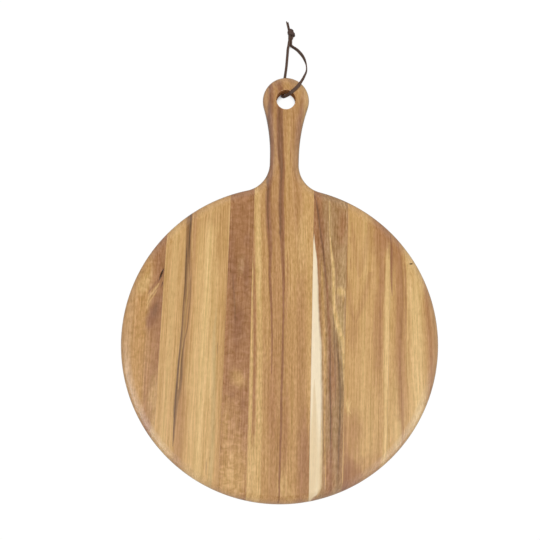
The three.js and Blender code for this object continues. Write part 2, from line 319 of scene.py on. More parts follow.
def finished_mesh(bm, name):
    """Turns a worked bmesh into a mesh with its faces pointing out."""
    bmesh.ops.recalc_face_normals(bm, faces=bm.faces)
    mesh = bpy.data.meshes.new(name)
    bm.to_mesh(mesh)
    bm.free()
    return mesh


def place_object(name, mesh):
    """A new object for a mesh, in the scene."""
    placed = bpy.data.objects.new(name, mesh)
    bpy.context.scene.collection.objects.link(placed)
    return placed


def board_blank(sizes):
    """The whole board before the hole is drilled."""
    bm = bmesh.new()
    loops = skin(bm, board_rings(sizes))
    ladder(bm, loops[0])
    ladder(bm, loops[-1])
    return finished_mesh(bm, "board_blank")


def hole_cutter(sizes):
    """A spindle that leaves a round rim at both faces of the handle."""
    rim = sizes.hole_rim
    flare = sizes.hole_diameter / 2 + rim
    low = arc(flare, sizes.handle_lift + rim, rim, -QUARTER, -math.pi, HOLE_RIM_STEPS)
    high = arc(flare, sizes.thickness - rim, rim, math.pi, QUARTER, HOLE_RIM_STEPS)
    profile = [(flare, sizes.handle_lift - rim), *low, *high, (flare, sizes.thickness + rim)]
    turns = [2 * math.pi * i / HOLE_SEGMENTS for i in range(HOLE_SEGMENTS)]
    end_y = board_shape(sizes).end_y
    rings = [[Vector((r * math.cos(t), end_y + r * math.sin(t), z)) for t in turns] for r, z in profile]
    bm = bmesh.new()
    loops = skin(bm, rings)
    bm.faces.new(loops[0])
    bm.faces.new(loops[-1])
    return finished_mesh(bm, "hole_cutter")


# Open flaws in the wood, in millimetres: middle, half sizes, turn about the upright in degrees, seed
Flaw = namedtuple("Flaw", "name x y reach_along reach_across depth turn seed")
FLAWS = [
    Flaw("bark_slit", -131.0, 76.2, 5.4, 1.0, 1.6, -22.0, 3.0),
    Flaw("bark_fleck", -129.9, 65.0, 3.0, 0.5, 0.9, -14.0, 9.0),
    Flaw("rim_check", 142.4, 94.1, 3.4, 0.7, 1.6, -72.0, 17.0),
]
FLAW_SUBDIVISIONS = 4
FLAW_ROUGHNESS = 0.35
FLAW_GRAIN = 2.3
FLAW_NARROWING = 0.55


def soft_edge_drop(sizes, radius):
    """How far the serving face has dropped at a distance from the middle of the round."""
    reach_in = sizes.round_diameter / 2 - radius
    share_in = min(1, max(0, reach_in / sizes.top_reach))
    turn = math.acos(1 - share_in * (1 - math.cos(sizes.top_sweep)))
    _, drop = top_edge(sizes, turn)
    return drop


def flaw_cutter(sizes, flaw):
    """A ragged spindle, sunk into the serving face where the wood is open."""
    bm = bmesh.new()
    bmesh.ops.create_icosphere(bm, subdivisions=FLAW_SUBDIVISIONS, radius=1.0)
    for vert in bm.verts:
        ragged = 1 + FLAW_ROUGHNESS * noise.noise(vert.co * FLAW_GRAIN + Vector((flaw.seed, 0, 0)))
        narrowing = 1 - FLAW_NARROWING * vert.co.y**2
        across = vert.co.x * flaw.reach_across * ragged * narrowing
        vert.co = Vector((across, vert.co.y * flaw.reach_along, vert.co.z * flaw.depth * ragged)) * MM
    turn = Matrix.Rotation(math.radians(flaw.turn), 4, "Z")
    drop = soft_edge_drop(sizes, math.hypot(flaw.x, flaw.y) * MM)
    shift = Matrix.Translation(Vector((flaw.x * MM, flaw.y * MM, sizes.thickness - drop)))
    bmesh.ops.transform(bm, matrix=shift @ turn, verts=bm.verts)
    return finished_mesh(bm, flaw.name)


def carve(blank, cutters):
    """Cuts every cutter out of the blank and returns the carved mesh."""
    work = place_object("board_work", blank)
    tools = [place_object(cutter.name, cutter) for cutter in cutters]
    for tool in tools:
        cut = work.modifiers.new(tool.name, "BOOLEAN")
        cut.operation = "DIFFERENCE"
        cut.solver = "EXACT"
        cut.object = tool
    depsgraph = bpy.context.evaluated_depsgraph_get()
    carved = bpy.data.meshes.new_from_object(work.evaluated_get(depsgraph))
    for used in [work, *tools]:
        spent = used.data
        bpy.data.objects.remove(used)
        bpy.data.meshes.remove(spent)
    return carved


def trim(bm, joint, aside, keep_right):
    """Saws the board along a joint line moved aside, keeps one side and closes the sawn face."""
    x, lean = joint
    lean = math.radians(lean)
    normal = Vector((math.cos(lean), math.sin(lean), 0))
    sawn = bmesh.ops.bisect_plane(
        bm,
        geom=[*bm.verts, *bm.edges, *bm.faces],
        plane_co=Vector((x * MM, 0, 0)) + normal * aside,
        plane_no=normal,
        clear_inner=keep_right,
        clear_outer=not keep_right,
    )
    edges = [item for item in sawn["geom_cut"] if isinstance(item, bmesh.types.BMEdge)]
    bmesh.ops.edgeloop_fill(bm, edges=edges)


def sawn_piece(carved, name, left, right):
    """The part of the board between two joint lines, each given with how far it is moved aside."""
    bm = bmesh.new()
    bm.from_mesh(carved)
    if left:
        trim(bm, *left, keep_right=True)
    if right:
        trim(bm, *right, keep_right=False)
    mesh = finished_mesh(bm, name)
    mesh.shade_smooth()
    mesh.set_sharp_from_angle(angle=SHARP_ANGLE)
    piece = place_object(name, mesh)
    flat_faces = piece.modifiers.new("flat_faces", "WEIGHTED_NORMAL")
    flat_faces.keep_sharp = True
    return piece


# Sockets of the mix node that belong to colours
MIX_FIRST = 6
MIX_SECOND = 7
MIX_RESULT = 2
# How a seed moves a noise along each axis, and the middle of what noises give
SEED_SHIFT = (1.0, 0.7, 1.3)
NOISE_MIDDLE = 0.5


class Bench:
    """Adds nodes to one node tree and joins their sockets."""

    def __init__(self, tree):
        self.tree = tree

    def add(self, kind, inputs, **settings):
        """A new node, with its inputs given as plain values or as other nodes' outputs."""
        node = self.tree.nodes.new("ShaderNode" + kind)
        for name, value in settings.items():
            setattr(node, name, value)
        for key, value in inputs.items():
            self.join(node.inputs[key], value)
        return node

    def join(self, socket, value):
        """Feeds a socket from another node, or sets its own value."""
        if isinstance(value, bpy.types.NodeSocket):
            self.tree.links.new(value, socket)
        else:
            socket.default_value = value

    def math(self, operation, *values, clamp=False):
        """One step of arithmetic."""
        node = self.add("Math", dict(enumerate(values)), operation=operation, use_clamp=clamp)
        return node.outputs[0]

    def span(self, value, low, high, to_low=0.0, to_high=1.0, kind="SMOOTHSTEP"):
        """A value carried from one span to another, held at the ends."""
        inputs = {0: value, 1: low, 2: high, 3: to_low, 4: to_high}
        return self.add("MapRange", inputs, interpolation_type=kind).outputs[0]

    def vector(self, x, y, z):
        """Three values as one place."""
        return self.add("CombineXYZ", {0: x, 1: y, 2: z}).outputs[0]

    def noise(self, place, grain, seed, detail=2.0, roughness=0.5, distortion=0.0):
        """Soft noise from 0 to 1. Grain is the size of its cells along each axis."""
        scale = tuple(1 / size for size in grain)
        inputs = {0: place, 1: scale, 2: tuple(seed * shift for shift in SEED_SHIFT)}
        scaled = self.add("VectorMath", inputs, operation="MULTIPLY_ADD").outputs[0]
        settings = {"Scale": 1.0, "Detail": detail, "Roughness": roughness, "Distortion": distortion}
        return self.add("TexNoise", {"Vector": scaled, **settings}).outputs[0]

    def sway(self, value, reach):
        """Noise from 0 to 1 as a shift to both sides."""
        return self.math("MULTIPLY", self.math("SUBTRACT", value, NOISE_MIDDLE), reach / NOISE_MIDDLE)

    def mix(self, factor, first, second, blend="MIX"):
        """Two colours mixed."""
        inputs = {0: factor, MIX_FIRST: first, MIX_SECOND: second}
        node = self.add("Mix", inputs, data_type="RGBA", blend_type=blend, clamp_factor=True)
        return node.outputs[MIX_RESULT]

    def bump(self, height, strength, depth):
        """A way for the surface to face, as if it were raised and sunk by a height."""
        inputs = {"Strength": strength, "Distance": depth, "Height": height}
        return self.add("Bump", inputs).outputs[0]

    def ramp(self, value, stops):
        """Colours along a value, each stop given as its place and its colour."""
        node = self.add("ValToRGB", {0: value})
        elements = node.color_ramp.elements
        elements[0].position, elements[0].color = stops[0]
        elements[1].position, elements[1].color = stops[-1]
        for place, tone in stops[1:-1]:
            elements.new(place).color = tone
        return node.outputs[0]

    def curve(self, value, points):
        """A smooth line through points whose places and values both run from 0 to 1."""
        node = self.add("FloatCurve", {"Value": value})
        line = node.mapping.curves[0]
        line.points[0].location = points[0]
        line.points[1].location = points[-1]
        for point in points[1:-1]:
            line.points.new(*point)
        for point in line.points:
            point.handle_type = "AUTO_CLAMPED"
        node.mapping.extend = "HORIZONTAL"
        node.mapping.update()
        return node.outputs[0]


def new_material(name):
    """A material with a bench for its nodes and its main shader."""
    material = bpy.data.materials.new(name)
    material.use_nodes = True
    shader = material.node_tree.nodes["Principled BSDF"]
    return material, Bench(material.node_tree), shader


def opaque(tone):
    """A colour with full cover, as colour sockets take it."""
    return (*tone, 1.0)


# Marks in the wood, in millimetres. A streak's course is (x, y, width) from one end to the other.
Streak = namedtuple("Streak", "tone strength soft course")
Patch = namedtuple("Patch", "tone strength x y reach_x reach_y lean soft", defaults=(0.0, 0.9))
# One stave: how far its grain wanders and tilts with depth, how much it curls and speckles, how close
# its pores stand, its bands from left to right, its marks, and how its grain bends with y and y squared
StaveLook = namedtuple(
    "StaveLook", "slot seed wander tilt curl speckle pores bands patches streaks bend",
    defaults=((0.0, 0.0),),
)

AMBER_STAVE = StaveLook(
    slot="acacia_amber", seed=11.0, wander=2.2, tilt=0.5, curl=0.26, speckle=0.34, pores=0.5,
    bands=[
        (-175, "caramel"), (-168, "amber"), (-162, "tan"), (-157, "amber"), (-148, "amber"),
        (-145, "caramel"), (-141, "russet"), (-138, "umber"), (-131, "umber"),
    ],
    patches=[
        Patch("walnut", 1.0, -137.5, 34, 10, 28, lean=-0.3, soft=0.7),
        Patch("ink", 0.3, -137.4, 36, 5, 13, lean=-0.3),
        Patch("caramel", 0.7, -143, -14, 12, 36, lean=-0.1),
        Patch("umber", 0.8, -134, 96, 9, 22),
        Patch("gold", 0.9, -149, 66, 9, 20, lean=-0.3, soft=0.8),
        # These two gold patches lighten the lower left: partly wood tone and partly a painted sheen
        Patch("gold", 0.6, -136, -58, 11, 40, lean=-0.04),
        Patch("gold", 0.9, -133, -98, 9, 42, lean=-0.04),
    ],
    streaks=[
        Streak("straw", 0.7, 0.8, [
            (-133.4, 66, 0.6), (-138, 58.5, 2.2), (-143, 51, 2), (-147, 42, 0.2),
        ]),
        Streak("gold", 0.7, 0.8, [
            (-135, 59, 0.3), (-140.5, 50, 1.6), (-145, 42, 1.4), (-148, 34, 0.2),
        ]),
        Streak("walnut", 0.8, 0.8, [
            (-133.4, 71, 1), (-138.5, 64, 2.6), (-142.5, 58, 2), (-145.5, 53, 0.2),
        ]),
        Streak("umber", 0.7, 0.7, [
            (-144.5, -12, 0.2), (-145.5, -32, 1.6), (-146, -54, 1.4), (-146.5, -75, 0.2),
        ]),
        Streak("umber", 0.5, 0.8, [(-138.5, 5, 0.2), (-139.5, -20, 1.8), (-140.5, -48, 0.3)]),
        Streak("walnut", 0.7, 0.9, [
            (-128.9, 84, 0.6), (-130.6, 76.5, 3.6), (-133.2, 70, 2.6), (-135.4, 65, 0.2),
        ]),
        Streak("bark", 0.8, 0.8, [
            (-128.9, 82, 0.4), (-130.4, 76.5, 1.8), (-132.8, 70.8, 1), (-134.4, 67.4, 0.1),
        ]),
        Streak("bark", 0.5, 0.8, [(-129.2, 69, 0.2), (-129.8, 65, 1), (-131.2, 60, 0.1)]),
    ],
)

GOLDEN_STAVE = StaveLook(
    slot="acacia_golden", seed=23.0, wander=1.2, tilt=0.35, curl=0.07, speckle=0.15, pores=0.35,
    bands=[
        (-131, "honey"), (-125.5, "honey"), (-122, "gold"), (-118.5, "gold"), (-115, "honey"),
        (-111, "honey"), (-107, "caramel"), (-103, "caramel"), (-99.5, "tan"), (-96.5, "honey"),
        (-93, "gold"), (-88, "gold"), (-84, "straw"), (-81, "straw"), (-78, "gold"),
        (-71.5, "gold"), (-68, "honey"), (-64.5, "honey"), (-61.5, "tan"),
    ],
    patches=[
        Patch("tan", 0.6, -74, 148, 40, 40),
        Patch("tan", 0.6, -68, 110, 9, 46),
        Patch("caramel", 0.7, -110, -72, 6, 40, lean=0.06),
        Patch("gold", 0.7, -98.6, -32, 6, 36),
        Patch("straw", 0.8, -76, -32, 4.5, 42),
        Patch("gold", 0.9, -81, -112, 6, 52),
        Patch("caramel", 0.5, -99, 135, 9, 34),
    ],
    streaks=[
        Streak("peat", 0.95, 0.4, [
            (-99.4, 154, 3), (-102.4, 127, 5.2), (-102.7, 100, 5.2), (-102.7, 78, 5.6),
            (-103, 55, 5.4), (-103.8, 40, 4), (-105.2, 17, 3), (-106.7, 0, 4), (-107.8, -25, 6),
            (-108.6, -42, 6.2), (-110.6, -65, 4.2), (-113.2, -95, 2.8), (-114.4, -112, 0.3),
        ]),
        Streak("honey", 0.7, 0.7, [
            (-101.8, 88, 0.4), (-101.8, 62, 1.6), (-103.5, 40, 1.8), (-105.1, 17, 1.6),
            (-106.3, 0, 1.4), (-108.1, -19, 1.2), (-109.6, -50, 0.6),
        ]),
        Streak("ink", 0.85, 0.6, [
            (-98.2, 152, 0.4), (-99.8, 138, 1.6), (-100.9, 127, 1.9), (-101.3, 108, 1.6),
            (-101, 92, 0.2),
        ]),
        Streak("ink", 0.8, 0.6, [
            (-104.2, 112, 0.2), (-104.4, 97, 1.1), (-105.2, 62, 1.3), (-106.3, 40, 1.4),
            (-107.4, 17, 1.6), (-108.8, -1, 1.8), (-110, -19, 1.6), (-111, -42, 1.5),
            (-112, -59, 1.8), (-112.7, -73, 2.2), (-113, -82, 1.4), (-113.4, -100, 0.6),
            (-114, -112, 0.1),
        ]),
        Streak("ink", 0.55, 0.7, [
            (-98.6, 92, 0.2), (-98.6, 62, 1.2), (-99.6, 41, 1.2), (-101.1, 18, 1.2),
            (-104.2, 2, 1.4), (-106.1, -19, 1.4), (-106.6, -42, 1.2), (-108.3, -61, 0.2),
        ]),
        Streak("straw", 0.5, 0.6, [
            (-96.4, 146, 0.2), (-98.3, 128, 1), (-98.4, 110, 1), (-97.4, 92, 0.2),
        ]),
        Streak("straw", 0.6, 0.7, [
            (-59.4, 92, 0.2), (-59, 118, 1), (-58.5, 145, 1), (-58.2, 162, 0.4),
        ]),
        Streak("caramel", 0.7, 0.7, [
            (-94.6, 148, 0.5), (-95.8, 128, 2.4), (-95.2, 98, 2), (-94.6, 78, 0.3),
        ]),
        Streak("moss", 0.75, 0.7, [
            (-70, 40, 0.5), (-71.8, 5, 3.6), (-70.7, -38, 4.4), (-70.6, -82, 4.6), (-71.4, -137, 4),
            (-72, -165, 2),
        ]),
        Streak("olive", 0.9, 0.5, [(-67.9, 4, 0.1), (-67.8, -3, 1), (-67.6, -12, 0.1)]),
        Streak("olive", 0.9, 0.6, [(-76.6, -124, 0.1), (-76.7, -134, 1.3), (-76.8, -143, 0.2)]),
    ],
)

UMBER_STAVE = StaveLook(
    slot="acacia_umber", seed=37.0, wander=2.0, tilt=0.6, curl=0.46, speckle=0.28, pores=0.55,
    bands=[
        (-60.2, "russet"), (-58, "umber"), (-33, "umber"),
    ],
    patches=[
        Patch("tan", 0.9, -46, -136, 26, 58, soft=0.7),
        Patch("honey", 0.9, -51, -148, 22, 40),
        Patch("caramel", 0.65, -51, -80, 16, 42, soft=0.8),
        Patch("tan", 0.85, -57, -98, 8, 54),
        Patch("walnut", 0.8, -56.5, 98, 8, 66),
        Patch("walnut", 0.9, -51.5, 72, 5, 36),
        Patch("walnut", 1.0, -46, 22, 12, 38),
        Patch("walnut", 0.6, -50.6, -54, 5, 6, soft=0.8),
        Patch("walnut", 0.6, -38.3, -64, 5, 9, soft=0.8),
        Patch("walnut", 0.7, -38.6, 115, 6, 12, soft=0.8),
        Patch("olive", 0.5, -43.5, 87, 6, 16, soft=0.8),
        Patch("walnut", 0.9, -38.5, 76, 6, 34),
        Patch("honey", 0.75, -44, -36.5, 13, 16, lean=0.2, soft=0.95),
    ],
    streaks=[
        Streak("ink", 0.35, 0.8, [
            (-53, 80, 0.2), (-52.2, 66, 1.4), (-50, 43, 1.6), (-49.5, 20, 0.2),
        ]),
    ],
)

STRIPED_STAVE = StaveLook(
    slot="acacia_striped", seed=41.0, wander=0.8, tilt=0.45, curl=0.1, speckle=0.34, pores=0.7,
    bend=(-0.0267, -0.000093),
    bands=[
        (-32.4, "tan"), (-30.6, "honey"), (-28.8, "tan"), (-27.6, "russet"), (-26.2, "caramel"),
        (-23.5, "gold"), (-20.5, "gold"), (-18, "tan"), (-11.5, "tan"), (-9, "caramel"),
        (5.6, "caramel"), (8.5, "tan"), (17, "tan"), (21, "caramel"), (25, "caramel"), (29, "tan"),
        (32, "honey"), (34.8, "honey"),
    ],
    patches=[
        Patch("umber", 1.0, 29, -120, 10, 76),
        Patch("umber", 0.8, 34, -135, 7, 60),
        Patch("straw", 0.8, -25.4, -135, 6, 60),
        Patch("honey", 0.7, 12, 92, 16, 60),
        Patch("umber", 1.0, 17, 243, 8, 56),
        Patch("gold", 0.5, 5, 215, 5, 50),
        Patch("gold", 0.6, 6, -150, 7, 30),
        Patch("walnut", 0.9, -7.5, 286, 6, 9, soft=0.8),
        Patch("gold", 0.5, 1.5, 287, 3, 9, soft=0.8),
        # Painted shadow of the lace: a greyish patch beside where the lace lies on the handle's end
        Patch("olive", 0.7, 9, 288, 8, 10),
        Patch("caramel", 0.8, -13, 264, 4, 14),
        Patch("ink", 0.8, -3.2, 125, 1.6, 5, soft=0.8),
        Patch("russet", 0.9, -7, -62, 8, 84),
        Patch("caramel", 0.7, -14, -40, 6, 44),
        Patch("russet", 0.7, 7, -95, 7, 60),
        Patch("gold", 0.7, 22, 118, 9, 52),
        Patch("caramel", 0.7, 0, 250, 5, 90),
        Patch("umber", 0.6, -12.5, 132, 7, 40),
    ],
    streaks=[
        Streak("straw", 0.8, 0.6, [
            (-32.6, 112, 0.6), (-32, 80, 1.2), (-31.4, 50, 1), (-31, 1, 1.2), (-30, -48, 2.4),
            (-29.9, -92, 2.6), (-30.4, -136, 2.6), (-30.6, -170, 2),
        ]),
        Streak("umber", 0.75, 0.6, [
            (-30.2, 100, 0.6), (-29.3, 50, 2.6), (-27.4, 1, 3), (-26.9, -48, 2.6),
            (-27.4, -82, 1.4), (-28, -108, 0.3),
        ]),
        Streak("gold", 0.9, 0.5, [
            (-29.5, 190, 5), (-28.6, 170, 5.6), (-27.8, 143, 6), (-26.2, 116, 6.4), (-25, 77, 6),
            (-23.9, 50, 5), (-22.5, 7, 4), (-21.5, -37, 3.6), (-20.4, -81, 4.6), (-22, -125, 7),
            (-23, -170, 6),
        ]),
        Streak("straw", 0.7, 0.7, [
            (-27, 140, 1.6), (-25.6, 104, 4.4), (-24.8, 62, 4), (-24, 40, 0.8),
        ]),
        Streak("walnut", 1.0, 0.4, [
            (-15.8, 292, 2), (-16.2, 270, 5.6), (-15.9, 252, 5.2), (-14.4, 235, 4.2),
            (-12.8, 213, 4), (-13.8, 190, 4.4), (-16.8, 162, 6), (-15.4, 135, 6), (-13.4, 115, 4.6),
            (-12.4, 78, 2.8), (-10.4, 51, 2.4), (-8.9, 18, 1.8), (-8, -30, 0.6),
        ]),
        Streak("walnut", 1.0, 0.3, [
            (-6.4, 284, 5.4), (-6, 248, 7.6), (-4.8, 215, 7.4), (-2.6, 190, 6.4), (-2.6, 161, 6.4),
            (-1.2, 135, 6), (0.4, 108, 4.6), (2.2, 78, 3.2), (2.8, 51, 2.6), (3.4, 2, 2),
            (3.6, -40, 2.2), (3.8, -80, 2.2), (3.6, -130, 2), (4, -172, 1.4),
        ]),
        Streak("ink", 0.42, 0.8, [
            (-7.2, 274, 1), (-6.6, 248, 2.8), (-5.6, 219, 3), (-3.6, 190, 2.6), (-3.4, 161, 2.8),
            (-2.6, 136, 2.4), (-1.8, 115, 0.3),
        ]),
        Streak("ink", 0.45, 0.7, [
            (-3.6, 262, 0.3), (-3.4, 240, 1.2), (-2.8, 205, 1.3), (-2.4, 175, 0.3),
        ]),
        Streak("ink", 0.5, 0.8, [
            (-17, 284, 0.4), (-16.6, 252, 2.4), (-14.6, 225, 1.8), (-17, 175, 2), (-16.4, 145, 1.6),
            (-14.2, 122, 0.3),
        ]),
        Streak("russet", 0.8, 0.8, [
            (6, 250, 0.3), (6.6, 230, 1.4), (6.8, 213, 2.2), (6.4, 195, 0.4),
        ]),
        Streak("russet", 0.7, 0.7, [(6, 105, 0.6), (6.4, 80, 2.6), (6.2, 50, 2), (6.6, 20, 0.4)]),
        Streak("russet", 0.7, 0.7, [
            (9.4, -40, 0.4), (10, -70, 2.6), (10.2, -105, 2.6), (9.6, -130, 0.4),
        ]),
        Streak("gold", 0.5, 0.8, [
            (5.5, -146, 0.5), (7.4, -156, 3), (11.5, -164, 3.4), (18, -171, 1),
        ]),
        Streak("gold", 0.45, 0.8, [
            (9.6, -138, 0.5), (11.6, -151, 2.6), (16, -160, 3), (22.5, -167, 1),
        ]),
    ],
)

SAPWOOD_STAVE = StaveLook(
    slot="acacia_sapwood", seed=53.0, wander=1.0, tilt=0.4, curl=0.18, speckle=0.5, pores=0.85,
    bands=[
        (34.8, "umber"), (42, "umber"), (46, "olive"), (62, "olive"), (66, "drab"), (69, "drab"),
        (71.4, "olive"),
    ],
    patches=[
        Patch("walnut", 0.7, 43, 128, 6, 36, lean=0.1),
        Patch("olive", 0.9, 44.5, 82, 5, 34, lean=0.1),
        Patch("drab", 0.9, 66, 66, 8, 34),
        Patch("moss", 0.6, 65, 22, 9, 34, lean=0.1),
        Patch("umber", 0.9, 60, -30, 6, 42),
        Patch("umber", 1.0, 58, -140, 9, 48),
        Patch("umber", 0.9, 69, -118, 6, 66),
        Patch("umber", 0.9, 65, 132, 9, 36),
        Patch("olive", 0.7, 64, 108, 6, 8, soft=0.8),
        Patch("straw", 0.9, 65.8, 61.4, 7.4, 7.6, soft=0.8),
        Patch("honey", 0.7, 67.8, 53, 2, 8),
    ],
    streaks=[
        Streak("walnut", 0.85, 0.6, [
            (35, 167, 1.6), (38.6, 146, 3), (42, 123, 3), (45.2, 103, 2.8), (47.6, 82, 2.6),
            (50.1, 64, 3), (51.8, 41, 3), (54, 19, 3), (55.2, 3, 3.2), (56.5, -47, 3.4),
            (58.2, -79, 2.6), (59.1, -111, 2.6), (60, -160, 2.6),
        ]),
        Streak("ink", 0.55, 0.8, [
            (34.4, 167, 0.8), (38.1, 146, 1.6), (41.7, 123, 1.8), (45.2, 103, 1.7), (47.7, 82, 1.4),
            (49.4, 62, 0.4),
        ]),
        Streak("ink", 0.7, 0.7, [
            (55, 14, 0.2), (55.8, -15, 1.2), (56.5, -47, 1.4), (57.8, -90, 1.2), (59, -130, 0.2),
        ]),
        Streak("honey", 0.85, 0.7, [
            (43.4, 95, 0.4), (44.4, 75, 2), (46.4, 41, 3), (49, 4, 3.6), (50, -13, 3.4),
            (51, -60, 2), (52.6, -110, 1.4), (54, -150, 0.6),
        ]),
        Streak("peat", 0.7, 0.7, [
            (61.5, 22, 0.6), (65, -12, 4), (66.6, -50, 5.4), (67.4, -90, 5.6), (67.6, -130, 5),
            (67.8, -160, 3),
        ]),
        Streak("ink", 0.5, 0.8, [
            (60.5, 20, 0.3), (62.5, 0, 1.6), (65.5, -20, 1.8), (67.6, -50, 2.2), (67.9, -80, 2),
            (67.4, -112, 1.4), (67, -145, 0.4),
        ]),
        Streak("ink", 0.55, 0.8, [
            (56.6, 46, 0.3), (58.8, 20, 1.4), (60.4, -5, 1.6), (61.6, -35, 1.4), (62.4, -62, 0.3),
        ]),
        Streak("ink", 0.35, 0.8, [
            (66.4, 2, 0.3), (68.4, -14, 1.2), (69.6, -40, 1.2), (69.8, -62, 0.3),
        ]),
        Streak("drab", 0.9, 0.9, [(50.4, 164, 1), (51.6, 150, 3), (53, 130, 3.6), (53.4, 112, 1)]),
        Streak("straw", 0.9, 0.6, [
            (50.6, 164, 0.3), (51.4, 140, 0.8), (52.4, 120, 1.1), (53.4, 108, 1.8), (55.6, 93, 3),
            (57.2, 66, 3.4), (58.6, 43, 3.8), (61.5, 30, 4.2), (65.3, 18, 4.4), (69.5, 7, 3.8),
            (70.5, -13, 2.4), (71.4, -40, 1),
        ]),
        Streak("gold", 0.6, 0.8, [(56.5, 50, 0.2), (60, 38, 1.8), (63.5, 28, 2), (66.5, 22, 0.3)]),
        Streak("cream", 1.0, 0.14, [
            (34.4, 124, 0.2), (34.6, 114, 1.8), (34.5, 103, 4.8), (34.5, 91, 8.6), (34.3, 68, 12.6),
            (34.4, 45, 14.4), (34.6, 22, 17), (34.8, 4, 20), (34.9, -16, 21.4), (35.2, -51, 24),
            (35.5, -87, 25), (35.8, -122, 25.6), (36, -146, 25.6), (36.1, -157, 22),
            (36.2, -164, 12), (36.2, -172, 2),
        ]),
        Streak("ivory", 0.85, 0.5, [
            (39, -35, 0.6), (40, -70, 5), (40, -105, 10), (39, -135, 14), (39, -152, 13),
            (37, -172, 4),
        ]),
        Streak("straw", 0.5, 0.9, [(47.4, -70, 0.4), (48, -110, 3), (48, -145, 4), (46, -165, 1)]),
    ],
)

HONEY_STAVE = StaveLook(
    slot="acacia_honey", seed=67.0, wander=2.0, tilt=0.4, curl=0.09, speckle=0.16, pores=0.4,
    bands=[
        (71.4, "tan"), (73.5, "honey"), (88, "honey"), (92, "gold"), (96, "honey"), (100, "honey"),
        (103, "tan"), (105.5, "caramel"), (107.5, "caramel"), (109.5, "russet"), (111.5, "caramel"),
        (113.2, "tan"), (115.2, "gold"), (117.5, "straw"), (119.3, "gold"),
    ],
    patches=[
        Patch("honey", 0.95, 107, -76, 13, 80, soft=0.8),
        Patch("gold", 0.7, 101, -90, 9, 70),
        Patch("umber", 1.0, 79, -152, 24, 54, soft=0.6),
        Patch("caramel", 0.7, 101, -138, 13, 34),
        Patch("walnut", 0.8, 76, -150, 8, 46),
        Patch("caramel", 1.0, 83, -92, 16, 40),
        Patch("umber", 0.8, 73.5, -100, 3.5, 50),
        Patch("caramel", 0.7, 80, 18, 9, 34),
        Patch("russet", 0.95, 110, 132, 20, 44, soft=0.8),
        Patch("umber", 0.9, 116, 132, 9, 36, soft=0.8),
        Patch("honey", 0.7, 104, 76, 4, 26),
        Patch("russet", 0.8, 112.4, 76, 3.4, 34),
        Patch("umber", 0.7, 109, 39, 2.6, 8),
        Patch("caramel", 0.8, 104, 24, 4, 34),
    ],
    streaks=[
        Streak("gold", 0.8, 0.6, [
            (70.4, 10, 0.4), (71.4, -13, 1.4), (71.8, -60, 0.9), (72.1, -133, 0.9),
            (72.3, -165, 0.6),
        ]),
        Streak("straw", 0.75, 0.9, [
            (115.2, 110, 0.8), (115.3, 80, 3.6), (115.6, 40, 4), (115.8, 0, 3.8), (116.6, -40, 3),
            (118.4, -80, 1.6), (119.4, -112, 0.4),
        ]),
        Streak("straw", 0.6, 0.7, [
            (73, 140, 0.4), (72.8, 110, 1.1), (72.6, 60, 1.1), (72, 15, 0.2),
        ]),
        Streak("russet", 0.5, 0.9, [(70.2, 84, 3), (74.6, 56, 6), (80.6, 28, 1)]),
        Streak("russet", 0.5, 0.9, [(97.4, 84, 4), (91, 56, 6.4), (82.6, 28, 1)]),
        Streak("russet", 0.4, 0.9, [(74.9, 138, 2), (79.8, 106, 5), (84.4, 78, 1)]),
        Streak("russet", 0.4, 0.9, [(94.8, 138, 3), (90.6, 106, 5.4), (85.8, 78, 1)]),
        Streak("russet", 0.7, 0.6, [(75, 100, 0.1), (75.2, 92, 1.1), (75.6, 84, 0.1)]),
        Streak("russet", 0.8, 0.6, [(73.6, 122, 0.1), (73.8, 118, 1), (74, 113, 0.1)]),
        Streak("straw", 0.9, 0.8, [
            (74.2, -58, 0.2), (75.2, -63, 1.6), (77.4, -68, 1.4), (80, -72, 0.3),
        ]),
        Streak("straw", 0.9, 0.8, [(75.4, -54, 0.2), (76, -64, 1.5), (76.4, -75, 0.3)]),
        Streak("straw", 0.8, 0.8, [(79.6, -57, 0.3), (77.4, -63, 1.5), (75, -70, 0.3)]),
    ],
)

